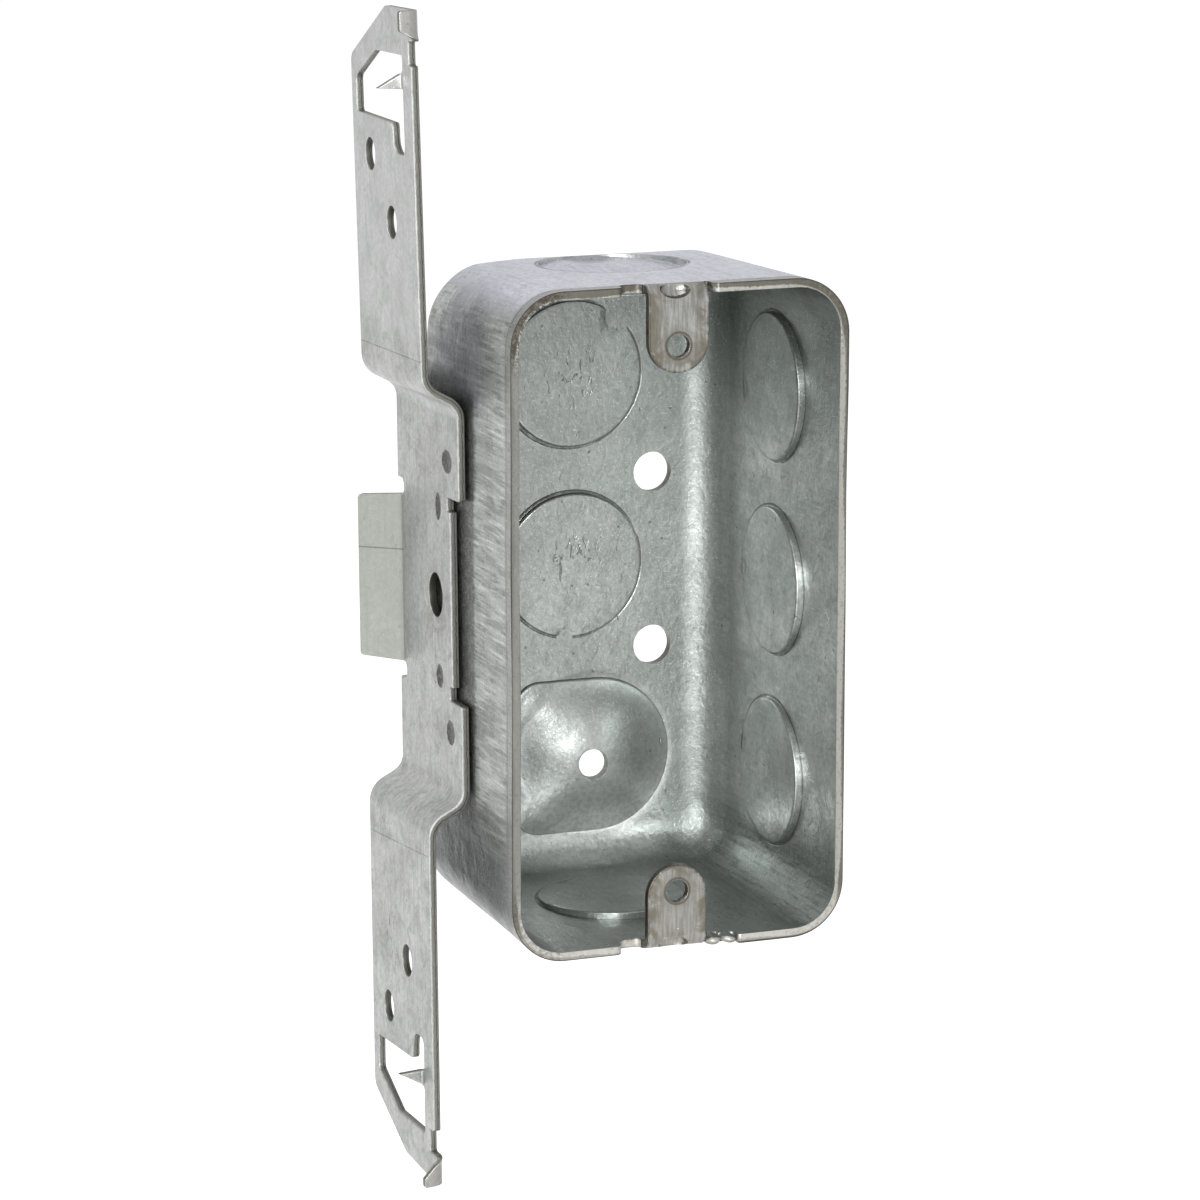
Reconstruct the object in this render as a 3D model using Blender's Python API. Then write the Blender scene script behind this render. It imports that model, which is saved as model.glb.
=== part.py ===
"""Electrical wall box: a drawn steel box with knockouts, and the stamped stud bracket
that is spot-welded to its side.

The opening faces -Y, the back wall is towards +Y and the bracket is on the -X side.
Lengths are in metres. The work is done with Y = 0 on the plane of the open rim; at the
end the whole part hangs on an empty that puts the world's origin on the box's centre
line, on the outer face of the middle rear knockout.
"""

import math

import bmesh
import bpy
from mathutils import Matrix, Vector

# Drawn box
BOX_WIDTH = 0.0540
BOX_HEIGHT = 0.1016
BOX_DEPTH = 0.0476
SIDE_SHEET = 0.0014
BACK_SHEET = 0.0016
RIM_CORNER_RADIUS = 0.0084
BACK_CORNER_RADIUS = 0.0090
INNER_BACK_CORNER_RADIUS = 0.0048
BACK_EDGE_RADIUS = 0.0076
WALL_DRAFT = math.radians(1.25)

# Knockouts: discs sheared nearly all round and pushed a little into the box
KNOCKOUT_RADIUS = 0.0115
KNOCKOUT_PITCH = 0.0305
KNOCKOUT_STEP = 0.0009
KNOCKOUT_TIE_REACH = 0.0048
WALL_KNOCKOUT_DEPTH = 0.0236

# Raised grounding boss and the two fixing holes in the back wall
BOSS_WIDTH = 0.0262
BOSS_HEIGHT = 0.0250
BOSS_RISE = 0.0042
BOSS_SIDE_STEP = 0.0016
BOSS_CORNER_RADIUS = 0.0042
BOSS_CENTRE_X = 0.0034
BOSS_CENTRE_Z = -0.0311
GROUND_HOLE_RADIUS = 0.00250
GROUND_HOLE_OFFSET_X = -0.0012
GROUND_HOLE_OFFSET_Z = -0.0006
FIXING_HOLE_RADIUS = 0.00318
FIXING_HOLE_X = 0.0138
FIXING_HOLE_Z = 0.0140

# Device tabs, bent inwards from the top and bottom of the rim
TAB_WIDTH = 0.0097
TAB_CENTRE_X = -0.0004
TAB_HOLE_SPACING = 0.0834
TAB_HOLE_RADIUS = 0.00170
TAB_TIP_Z = 0.0376
TAB_BEND_RADIUS = 0.0007
TAB_SHEET = 0.00132
NOTCH_DEPTH = 0.0031
LEFT_NOTCH_WIDTH = 0.0039
RIGHT_NOTCH_WIDTH = 0.0021
DIMPLE_WIDTH = 0.0048
DIMPLE_DEPTH = 0.0008

# Stud bracket: one stamping, a plate with two arms stepped outwards
BRACKET_SHEET = 0.00125
PLATE_WIDTH = 0.0300
PLATE_SETBACK = 0.0195
PLATE_HALF_HEIGHT = 0.0285
PLATE_TILT = math.radians(1.7)
STEP_ANGLE = math.radians(62.0)
STEP_BEND_RADIUS = 0.0028
STEP_SLOPE_LENGTH = 0.0022
UPPER_ARM_LEAN = math.radians(1.0)
LOWER_ARM_LEAN = math.radians(0.0)
ARM_LENGTH = 0.0546
LOWER_ARM_SHORTER = 0.0003
ARM_TAPER_LENGTH = 0.0083
ARM_END_WIDTH = 0.0120
LOWER_END_WIDTH = 0.0140
LOWER_END_SLANT = 0.0012
ARM_HOLE_RADIUS = 0.0025
NEAR_HOLE_FROM_FRONT = 0.0120
NEAR_HOLE_FROM_STEP = 0.0220
FAR_HOLE_FROM_FRONT = 0.0217
FAR_HOLE_FROM_STEP = 0.0316

# Window, spur and hook at the end of each arm
WINDOW_FROM_STEP = 0.0377
WINDOW_NEAR_SLANT = 0.00055
FRONT_STRIP_WIDTH = 0.0042
REAR_STRIP_WIDTH = 0.0023
WINDOW_SHORT_SIDE = 0.0054
WINDOW_LONG_SIDE = 0.0099
WINDOW_TAPER_WIDTH = 0.0099
SLOT_WIDTH = 0.0057
SLOT_DEPTH = 0.0045
SLOT_ROUNDING = 0.0025
SPUR_LENGTH = 0.0050
SPUR_BASE = 0.0030
UPPER_SPUR_FROM_STEP = 0.0425
LOWER_SPUR_FROM_STEP = 0.0376
SPUR_BEND_RADIUS = 0.0003
HOOK_BEND_RADIUS = 0.0006
HOOK_REACH = 0.0033
HOOK_ROOT_LENGTH = 0.0047
UPPER_HOOK_TIP_LENGTH = 0.0030
LOWER_HOOK_TIP_LENGTH = 0.0014
HOOK_NOTCH_LENGTH = 0.0036
UPPER_NOTCH_DEPTH = 0.0011
LOWER_NOTCH_DEPTH = 0.0020

# Middle of the bracket
FLAG_LENGTH = 0.0086
FLAG_HEIGHT = 0.0268
FLAG_TAPER = 0.0006
FLAG_ANGLE = math.radians(47.0)
FLAG_BEND_RADIUS = 0.0012
FLAG_BEND_SETBACK = 0.0022
RELIEF_WIDTH = 0.0024
RELIEF_DEPTH = 0.0030
CENTRE_HOLE_RADIUS = 0.0034
CENTRE_HOLE_FROM_FRONT = 0.0118
LIP_RECESS = 0.0044
LIP_TOP = 0.0160
LIP_BOTTOM = 0.0155
LIP_SLOT_WIDTH = 0.0022
LIP_SLOT_DEPTH = 0.0013

# Clearance between the two pieces, and how far joined solids sink into each other
WELD_GAP = 0.0003
SINK = 0.00004

# Smoothness of the curves
CORNER_STEPS = 8
EDGE_STEPS = 6
DISC_STEPS = 40
HOLE_STEPS = 24
BEND_STEPS = 5


def clear_scene():
    """Remove everything, so that the script starts from nothing."""
    for item in list(bpy.data.objects):
        bpy.data.objects.remove(item, do_unlink=True)


def steel(name, colour, roughness):
    """A galvanised steel material."""
    material = bpy.data.materials.new(name)
    material.use_nodes = True
    shader = material.node_tree.nodes["Principled BSDF"]
    shader.inputs["Base Color"].default_value = (*colour, 1.0)
    shader.inputs["Roughness"].default_value = roughness
    shader.inputs["Metallic"].default_value = 0.8
    return material


def object_from(bm, name):
    """Turn a bmesh into an object of the scene, with its faces pointing out."""
    bmesh.ops.recalc_face_normals(bm, faces=bm.faces)
    if bm.calc_volume(signed=True) < 0.0:
        bmesh.ops.reverse_faces(bm, faces=bm.faces)
    mesh = bpy.data.meshes.new(name)
    bm.to_mesh(mesh)
    bm.free()
    item = bpy.data.objects.new(name, mesh)
    bpy.context.scene.collection.objects.link(item)
    return item


def combine(target, tool, operation):
    """Cut the tool from the target or join it on, then drop the tool."""
    modifier = target.modifiers.new(operation.lower(), "BOOLEAN")
    modifier.operation = operation
    modifier.solver = "EXACT"
    modifier.object = tool
    graph = bpy.context.evaluated_depsgraph_get()
    mesh = bpy.data.meshes.new_from_object(target.evaluated_get(graph))
    target.modifiers.clear()
    target.data = mesh
    bpy.data.objects.remove(tool, do_unlink=True)


def axes_matrix(x_axis, z_axis, origin):
    """A frame from its X and Z axes."""
    y_axis = z_axis.cross(x_axis)
    return Matrix((x_axis, y_axis, z_axis)).transposed().to_4x4() @ Matrix() if origin is None \
        else Matrix.Translation(origin) @ Matrix((x_axis, y_axis, z_axis)).transposed().to_4x4()


def rounded_outline(corners, steps=4):
    """A closed outline in the plane, from (x, y, radius) corners joined by arcs."""
    points = []
    count = len(corners)
    for index, (x, y, radius) in enumerate(corners):
        corner = Vector((x, y))
        to_last = (Vector(corners[index - 1][:2]) - corner).normalized()
        to_next = (Vector(corners[(index + 1) % count][:2]) - corner).normalized()
        if radius <= 0.0:
            points.append(corner)
            continue
        half = to_last.angle(to_next) / 2.0
        reach = radius / math.tan(half)
        centre = corner + (to_last + to_next).normalized() * (radius / math.sin(half))
        start = corner + to_last * reach - centre
        end = corner + to_next * reach - centre
        sweep = start.angle_signed(end)
        for step in range(steps + 1):
            turn = Matrix.Rotation(-sweep * step / steps, 2)
            points.append(centre + turn @ start)
    return points


def circle_outline(x, y, radius, steps=HOLE_STEPS):
    """A circle in the plane."""
    angles = [2.0 * math.pi * step / steps for step in range(steps)]
    return [Vector((x + radius * math.cos(a), y + radius * math.sin(a))) for a in angles]


def flat_blank(outline, holes):
    """A flat sheet with holes, as faces in the XY plane."""
    bm = bmesh.new()
    edges = []
    for loop in [outline] + holes:
        verts = [bm.verts.new((point.x, point.y, 0.0)) for point in loop]
        for index, vert in enumerate(verts):
            edges.append(bm.edges.new((verts[index - 1], vert)))
    bmesh.ops.triangle_fill(bm, edges=edges, use_beauty=True, use_dissolve=False)
    return bm


def slice_blank(bm, axis, places):
    """Cut the sheet's faces along the lines where it will bend."""
    normal = Vector((1.0, 0.0, 0.0)) if axis == 0 else Vector((0.0, 1.0, 0.0))
    for place in places:
        everything = bm.verts[:] + bm.edges[:] + bm.faces[:]
        bmesh.ops.bisect_plane(bm, geom=everything, dist=1e-7, plane_co=normal * place, plane_no=normal)


def thicken_blank(bm, sheet):
    """Give the flat sheet its thickness, half on each side of its middle plane."""
    bmesh.ops.translate(bm, verts=bm.verts, vec=(0.0, 0.0, -sheet / 2.0))
    made = bmesh.ops.extrude_face_region(bm, geom=bm.faces[:], use_keep_orig=True)
    raised = [item for item in made["geom"] if isinstance(item, bmesh.types.BMVert)]
    bmesh.ops.translate(bm, verts=raised, vec=(0.0, 0.0, sheet))


def bend_places(pieces, start):
    """Where, along the flat sheet, each bend of a folding path needs a cut."""
    places = []
    reach = start
    for kind, size, radius in pieces:
        length = size if kind == "run" else abs(size) * radius
        if kind == "bend":
            places += [reach + length * step / BEND_STEPS for step in range(BEND_STEPS + 1)]
        reach += length
    return places


def fold(pieces, along, height):
    """Follow a path of straight runs and bends; returns the place in the folded plane.

    The path starts along the first axis. A positive bend turns towards the second axis.
    """
    heading = 0.0
    x, y = 0.0, 0.0
    left = along
    for index, (kind, size, radius) in enumerate(pieces):
        length = size if kind == "run" else abs(size) * radius
        last = index == len(pieces) - 1
        part = left if last else min(left, length)
        if kind == "run":
            x += math.cos(heading) * part
            y += math.sin(heading) * part
        else:
            side = math.copysign(1.0, size)
            turn = side * part / radius
            x += side * radius * (math.sin(heading + turn) - math.sin(heading))
            y -= side * radius * (math.cos(heading + turn) - math.cos(heading))
            heading += turn
        left -= part
        if left <= 0.0:
            break
    return x - math.sin(heading) * height, y + math.cos(heading) * height


def extruded(outline, low, high):
    """A solid of one outline, between two heights along Z."""
    bm = bmesh.new()
    face = bm.faces.new([bm.verts.new((point.x, point.y, low)) for point in outline])
    made = bmesh.ops.extrude_face_region(bm, geom=[face], use_keep_orig=True)
    raised = [item for item in made["geom"] if isinstance(item, bmesh.types.BMVert)]
    bmesh.ops.translate(bm, verts=raised, vec=(0.0, 0.0, high - low))
    return bm


def skin_rings(bm, rings, close_ends=True):
    """Join rings of points with quads, and fill the first and the last ring."""
    made = [[bm.verts.new(point) for point in ring] for ring in rings]
    for near, far in zip(made, made[1:]):
        for index in range(len(near)):
            bm.faces.new((near[index - 1], near[index], far[index], far[index - 1]))
    if close_ends:
        bm.faces.new(made[0])
        bm.faces.new(made[-1])


def wall_inset(depth):
    """How far the drafted outer wall has drawn in at a depth behind the rim."""
    return depth * math.tan(WALL_DRAFT)


def wall_profile(sheet, back_sheet):
    """Inset and depth along one skin of the wall, from the rim round to the back."""
    radius = BACK_EDGE_RADIUS - sheet
    centre_depth = BOX_DEPTH - back_sheet - radius
    centre_inset = wall_inset(centre_depth) + (sheet + radius) / math.cos(WALL_DRAFT)
    profile = [(sheet / math.cos(WALL_DRAFT), 0.0)]
    for step in range(EDGE_STEPS + 1):
        angle = WALL_DRAFT + (math.pi / 2.0 - WALL_DRAFT) * step / EDGE_STEPS
        profile.append((centre_inset - radius * math.cos(angle), centre_depth + radius * math.sin(angle)))
    return profile


def box_ring(inset, depth, rim_radius, back_radius):
    """One rounded rectangle of the box's skin."""
    share = min(inset / wall_profile(0.0, 0.0)[-1][0], 1.0)
    radius = rim_radius + (back_radius - rim_radius) * share
    half_x = BOX_WIDTH / 2.0 - inset
    half_z = BOX_HEIGHT / 2.0 - inset
    corners = [(half_x, half_z, radius), (-half_x, half_z, radius)]
    corners += [(-half_x, -half_z, radius), (half_x, -half_z, radius)]
    return [(point.x, depth, point.y) for point in rounded_outline(corners, CORNER_STEPS)]


def drawn_shell():
    """The deep-drawn box as one closed sheet: outer skin, rim, inner skin."""
    outer = [box_ring(*place, RIM_CORNER_RADIUS, BACK_CORNER_RADIUS) for place in wall_profile(0.0, 0.0)]
    inner_rim = RIM_CORNER_RADIUS - SIDE_SHEET
    inner_places = wall_profile(SIDE_SHEET, BACK_SHEET)
    inner = [box_ring(*place, inner_rim, INNER_BACK_CORNER_RADIUS) for place in inner_places]
    bm = bmesh.new()
    skin_rings(bm, outer[::-1] + inner)
    return object_from(bm, "box_body")


def coin(radius, sunk, step, tie_angle):
    """A disc with a flat side at -sunk and a raised side at +step.

    The raised side ramps down through zero at the tie, where the metal stays whole.
    """
    tie = Vector((radius * math.cos(tie_angle), radius * math.sin(tie_angle)))
    dip = step * 0.35
    rings = []
    for share in (1.0, 0.92, 0.82, 0.7, 0.45, 0.15):
        ring = []
        for point in circle_outline(0.0, 0.0, radius * share, DISC_STEPS):
            near = min((point - tie).length / KNOCKOUT_TIE_REACH, 1.0)
            ramp = near * near * (3.0 - 2.0 * near)
            ring.append((point.x, point.y, (step + dip) * ramp - dip))
        rings.append(ring)
    base = [(x, y, -sunk) for x, y, _ in rings[0]]
    bm = bmesh.new()
    skin_rings(bm, [base] + rings)
    return object_from(bm, "knockout")


def wall_frame(side, depth, height):
    """The frame of a knockout: origin on the outer skin, Z into the box, X to the back."""
    cos, sin = math.cos(WALL_DRAFT), math.sin(WALL_DRAFT)
    inset = wall_inset(depth)
    if side == "right":
        origin = Vector((BOX_WIDTH / 2.0 - inset, depth, height))
        return origin, Vector((-sin, cos, 0.0)), Vector((-cos, -sin, 0.0))
    if side == "back":
        origin = Vector((0.0, BOX_DEPTH, height))
        return origin, Vector((1.0, 0.0, 0.0)), Vector((0.0, -1.0, 0.0))
    up = 1.0 if side == "top" else -1.0
    origin = Vector((0.0, depth, up * (BOX_HEIGHT / 2.0 - inset)))
    return origin, Vector((0.0, cos, -up * sin)), Vector((0.0, -sin, -up * cos))


def add_knockout(box, side, depth, height, tie_angle):
    """Press one knockout disc into a wall: a recess outside and a raised disc inside."""
    origin, x_axis, z_axis = wall_frame(side, depth, height)
    sheet = BACK_SHEET if side == "back" else SIDE_SHEET
    raised = coin(KNOCKOUT_RADIUS, sheet * 0.4, KNOCKOUT_STEP, tie_angle)
    raised.data.transform(axes_matrix(x_axis, z_axis, origin + z_axis * sheet))
    combine(box, raised, "UNION")
    recess = coin(KNOCKOUT_RADIUS - SINK, sheet, KNOCKOUT_STEP, tie_angle)
    recess.data.transform(axes_matrix(x_axis, z_axis, origin))
    combine(box, recess, "DIFFERENCE")


def boss_form(shrink, base_depth, reach):
    """The boss's D-shaped pillow, its open side at reach behind base_depth."""
    left, right = -BOSS_WIDTH / 2.0, BOSS_WIDTH / 2.0
    top = BOSS_HEIGHT / 2.0
    round_end = top - SINK
    corners = [(left, -top, BOSS_CORNER_RADIUS), (right, -top, round_end)]
    corners += [(right, top, round_end), (left, top, BOSS_CORNER_RADIUS)]
    outline = rounded_outline(corners, 10)
    crown = BOSS_RISE - BOSS_SIDE_STEP
    scale = 1.0 - shrink / top
    levels = [(1.0, -reach), (1.0, 0.0), (0.965, BOSS_SIDE_STEP * 0.72), (0.915, BOSS_SIDE_STEP)]
    levels += [(share, BOSS_SIDE_STEP + crown * (1.0 - (share / 0.915) ** 2)) for share in (0.75, 0.55, 0.3, 0.1)]
    rings = []
    for share, rise in levels:
        ring = []
        for point in outline:
            x = BOSS_CENTRE_X + point.x * share * scale
            z = BOSS_CENTRE_Z + point.y * share * scale
            ring.append((x, base_depth - rise, z))
        rings.append(ring)
    bm = bmesh.new()
    skin_rings(bm, rings)
    return object_from(bm, "boss")


def add_boss(box):
    """Raise the D-shaped grounding boss from the back wall, hollow behind."""
    sheet_along_side = BACK_SHEET * 0.75
    combine(box, boss_form(0.0, BOX_DEPTH - BACK_SHEET, BACK_SHEET * 0.4), "UNION")
    combine(box, boss_form(sheet_along_side, BOX_DEPTH, BACK_SHEET), "DIFFERENCE")


def drill(box, x, z, radius, front, back):
    """A round hole through the back wall or a tab, along Y."""
    bm = extruded(circle_outline(x, -z, radius), front, back)
    bmesh.ops.rotate(bm, verts=bm.verts, cent=(0, 0, 0), matrix=Matrix.Rotation(-math.pi / 2.0, 3, "X"))
    combine(box, object_from(bm, "drill"), "DIFFERENCE")


def tab_places():
    """Values that the rim's cut-outs and the folded tab share."""
    middle = TAB_BEND_RADIUS + TAB_SHEET / 2.0
    bend_depth = middle + TAB_SHEET / 2.0
    seat_depth = bend_depth + SINK
    sheet_z = BOX_HEIGHT / 2.0 - (SIDE_SHEET - TAB_SHEET) / 2.0 - wall_inset(seat_depth) - TAB_SHEET / 2.0
    return middle, bend_depth, seat_depth, sheet_z


def cut_rim(box, up):
    """Cut the rim away where a tab is bent, with a rounded relief notch on each side."""
    _, _, seat_depth, _ = tab_places()
    left = TAB_CENTRE_X - TAB_WIDTH / 2.0
    right = TAB_CENTRE_X + TAB_WIDTH / 2.0
    front = -SIDE_SHEET
    rounding = RIGHT_NOTCH_WIDTH * 0.45
    corners = [(left - LEFT_NOTCH_WIDTH, front, 0.0), (right + RIGHT_NOTCH_WIDTH, front, 0.0)]
    corners += [(right + RIGHT_NOTCH_WIDTH, NOTCH_DEPTH, rounding), (right, NOTCH_DEPTH, rounding)]
    corners += [(right, seat_depth, 0.0), (left, seat_depth, 0.0)]
    corners += [(left, NOTCH_DEPTH, rounding), (left - LEFT_NOTCH_WIDTH, NOTCH_DEPTH, rounding)]
    low = BOX_HEIGHT / 2.0 - 2.0 * SIDE_SHEET
    high = BOX_HEIGHT / 2.0 + SIDE_SHEET
    ends = (low, high) if up > 0 else (-high, -low)
    combine(box, object_from(extruded(rounded_outline(corners), *ends), "rim_cut"), "DIFFERENCE")


def add_tab(box, up):
    """Fold one device tab from its flat blank and join it to the rim."""
    middle, bend_depth, seat_depth, sheet_z = tab_places()
    stub = seat_depth + SIDE_SHEET / 2.0
    half = TAB_WIDTH / 2.0 - SINK
    path = [("run", stub - bend_depth, 0.0), ("bend", math.pi / 2.0, middle), ("run", 0.0, 0.0)]
    bend_end = stub - bend_depth + middle * math.pi / 2.0
    flat_tip = bend_end + sheet_z - middle - TAB_TIP_Z
    flat_hole = bend_end + sheet_z - middle - TAB_HOLE_SPACING / 2.0
    corners = [(-half, 0.0, 0.0), (half, 0.0, 0.0), (half, flat_tip, half - SINK), (-half, flat_tip, half - SINK)]
    hole = circle_outline(0.0, flat_hole, TAB_HOLE_RADIUS)
    bm = flat_blank(rounded_outline(corners, 10), [hole])
    slice_blank(bm, 1, bend_places(path, 0.0))
    thicken_blank(bm, TAB_SHEET)
    for vert in bm.verts:
        ahead, down = fold(path, vert.co.y, vert.co.z)
        vert.co = Vector((TAB_CENTRE_X + vert.co.x, stub - ahead, up * (sheet_z - down)))
    combine(box, object_from(bm, "tab"), "UNION")


def add_dimple(box, up):
    """The small stiffening dent across the bend of a tab."""
    _, bend_depth, _, sheet_z = tab_places()
    bm = bmesh.new()
    bmesh.ops.create_uvsphere(bm, u_segments=16, v_segments=10, radius=DIMPLE_WIDTH / 2.0)
    squash = Matrix.Diagonal((1.0, 0.62, 0.62))
    bmesh.ops.transform(bm, matrix=squash.to_4x4(), verts=bm.verts)
    lift = (0.62 * DIMPLE_WIDTH / 2.0 - DIMPLE_DEPTH) * math.sqrt(0.5)
    corner = bend_depth * (1.0 - math.sqrt(0.5))
    place = Vector((TAB_CENTRE_X, corner - lift, up * (sheet_z + TAB_SHEET / 2.0 - corner + lift)))
    bmesh.ops.translate(bm, verts=bm.verts, vec=place)
    combine(box, object_from(bm, "dimple"), "DIFFERENCE")


def build_box():
    """The whole box body."""
    box = drawn_shell()
    for up in (1.0, -1.0):
        cut_rim(box, up)
        add_tab(box, up)
        add_dimple(box, up)
    for row in (1.0, 0.0, -1.0):
        add_knockout(box, "right", WALL_KNOCKOUT_DEPTH, row * KNOCKOUT_PITCH, math.radians(10.0 * row))
    add_knockout(box, "top", WALL_KNOCKOUT_DEPTH, 0.0, math.radians(-50.0))
    add_knockout(box, "bottom", WALL_KNOCKOUT_DEPTH, 0.0, math.radians(20.0))
    add_knockout(box, "back", 0.0, KNOCKOUT_PITCH, math.radians(48.0))
    add_knockout(box, "back", 0.0, 0.0, math.radians(-95.0))
    add_boss(box)
    behind = BOX_DEPTH + BACK_SHEET
    before = BOX_DEPTH - BACK_SHEET - BOSS_RISE - BACK_SHEET
    hole_x, hole_z = BOSS_CENTRE_X + GROUND_HOLE_OFFSET_X, BOSS_CENTRE_Z + GROUND_HOLE_OFFSET_Z
    drill(box, hole_x, hole_z, GROUND_HOLE_RADIUS, before, behind)
    for up in (1.0, -1.0):
        drill(box, FIXING_HOLE_X, up * FIXING_HOLE_Z, FIXING_HOLE_RADIUS, before, behind)
    return box


def arm_path(lean):
    """The folding path of the plate and one arm, seen along the plate's width."""
    middle = STEP_BEND_RADIUS + BRACKET_SHEET / 2.0
    path = [("run", PLATE_HALF_HEIGHT, 0.0), ("bend", STEP_ANGLE, middle)]
    path += [("run", STEP_SLOPE_LENGTH, 0.0), ("bend", lean - STEP_ANGLE, middle), ("run", 0.0, 0.0)]
    return path


def arm_root(up):
    """How far from the middle, on the flat blank, the straight arm starts."""
    lean = UPPER_ARM_LEAN if up > 0 else LOWER_ARM_LEAN
    middle = STEP_BEND_RADIUS + BRACKET_SHEET / 2.0
    shorter = 0.0 if up > 0 else LOWER_ARM_SHORTER
    return PLATE_HALF_HEIGHT + STEP_SLOPE_LENGTH + middle * (2.0 * STEP_ANGLE - lean) - shorter


def hook_blank_reach():
    """How far the flat hook sticks out in front of the arm's front edge."""
    middle = HOOK_BEND_RADIUS + BRACKET_SHEET / 2.0
    return middle * math.pi / 2.0 + HOOK_REACH - HOOK_BEND_RADIUS - BRACKET_SHEET


def spur_blank_reach():
    """The flat length of the spur, up to its point."""
    middle = SPUR_BEND_RADIUS + BRACKET_SHEET / 2.0
    return middle * math.pi / 2.0 + SPUR_LENGTH - SPUR_BEND_RADIUS - BRACKET_SHEET


def arm_outline(up):
    """Corners of one arm's end on the flat blank, from the front edge to the rear edge."""
    end = arm_root(up) + ARM_LENGTH
    notch_far = end - HOOK_ROOT_LENGTH
    notch_near = notch_far - HOOK_NOTCH_LENGTH
    depth = UPPER_NOTCH_DEPTH if up > 0 else LOWER_NOTCH_DEPTH
    reach = hook_blank_reach()
    hook_low = end - (UPPER_HOOK_TIP_LENGTH if up > 0 else LOWER_HOOK_TIP_LENGTH)
    end_width = ARM_END_WIDTH if up > 0 else LOWER_END_WIDTH
    end_corner = end - (0.0 if up > 0 else LOWER_END_SLANT)
    small = 0.0004
    corners = [(0.0, notch_near, small), (depth, notch_near, small), (depth, notch_far, small)]
    corners += [(-small, notch_far, small / 2.0), (-reach, hook_low, small), (-reach, end, small)]
    corners += [(end_width, end_corner, 0.0012), (PLATE_WIDTH, end - ARM_TAPER_LENGTH, 0.0020)]
    return [(x, up * y, radius) for x, y, radius in corners]


def spur_start(up):
    """Where the spur's base starts on the flat blank."""
    return arm_root(up) + (UPPER_SPUR_FROM_STEP if up > 0 else LOWER_SPUR_FROM_STEP)


def window_outline(up):
    """The window near the arm's end, with its slot and the spur standing in it."""
    near = arm_root(up) + WINDOW_FROM_STEP
    near_front = near - WINDOW_NEAR_SLANT
    slot_end = near_front - SLOT_DEPTH
    slot_rear = FRONT_STRIP_WIDTH + SLOT_WIDTH
    front, rear = FRONT_STRIP_WIDTH, PLATE_WIDTH - REAR_STRIP_WIDTH
    spur = spur_start(up)
    far = near + WINDOW_LONG_SIDE
    corners = [(front, slot_end, 0.0012), (slot_rear, slot_end, SLOT_ROUNDING), (slot_rear, near_front, 0.0008)]
    corners += [(rear, near, 0.0006), (rear, near + WINDOW_SHORT_SIDE, 0.0010)]
    corners += [(rear - WINDOW_TAPER_WIDTH, far, 0.0010), (front, far, 0.0006)]
    corners += [(front, spur + SPUR_BASE, 0.0), (front + spur_blank_reach(), spur + SPUR_BASE * 0.13, 0.0)]
    corners += [(front, spur, 0.0)]
    return [(x, up * y, radius) for x, y, radius in corners]


def lip_outline():
    """The recess in the plate's front edge, with a small slot at each end."""
    deep = LIP_RECESS + LIP_SLOT_DEPTH
    small = 0.0004
    corners = [(0.0, LIP_TOP, small), (deep, LIP_TOP, small), (deep, LIP_TOP - LIP_SLOT_WIDTH, small)]
    corners += [(LIP_RECESS, LIP_TOP - LIP_SLOT_WIDTH, 0.0), (LIP_RECESS, LIP_SLOT_WIDTH - LIP_BOTTOM, 0.0)]
    corners += [(deep, LIP_SLOT_WIDTH - LIP_BOTTOM, small), (deep, -LIP_BOTTOM, small), (0.0, -LIP_BOTTOM, small)]
    return corners


def flag_outline():
    """The flag at the plate's rear edge and the relief notch on each side of it."""
    half = FLAG_HEIGHT / 2.0
    tip = PLATE_WIDTH - FLAG_BEND_SETBACK + FLAG_LENGTH
    inner = PLATE_WIDTH - RELIEF_DEPTH
    outer = half + RELIEF_WIDTH
    rounding = RELIEF_WIDTH * 0.45
    corners = [(PLATE_WIDTH, -outer, 0.0004), (inner, -outer, rounding), (inner, -half, rounding)]
    corners += [(tip, FLAG_TAPER - half, 0.0006), (tip, half - FLAG_TAPER, 0.0006)]
    corners += [(inner, half, rounding), (inner, outer, rounding), (PLATE_WIDTH, outer, 0.0004)]
    return corners


def bracket_blank():
    """The flat blank of the bracket, with all its holes."""
    corners = arm_outline(-1.0) + flag_outline() + arm_outline(1.0)[::-1] + lip_outline()
    holes = [circle_outline(CENTRE_HOLE_FROM_FRONT, 0.0, CENTRE_HOLE_RADIUS)]
    for up in (1.0, -1.0):
        near = up * (arm_root(up) + NEAR_HOLE_FROM_STEP)
        far = up * (arm_root(up) + FAR_HOLE_FROM_STEP)
        holes.append(circle_outline(NEAR_HOLE_FROM_FRONT, near, ARM_HOLE_RADIUS))
        holes.append(circle_outline(FAR_HOLE_FROM_FRONT, far, ARM_HOLE_RADIUS))
        holes.append(rounded_outline(window_outline(up)))
    return flat_blank(rounded_outline(corners), holes)


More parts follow.
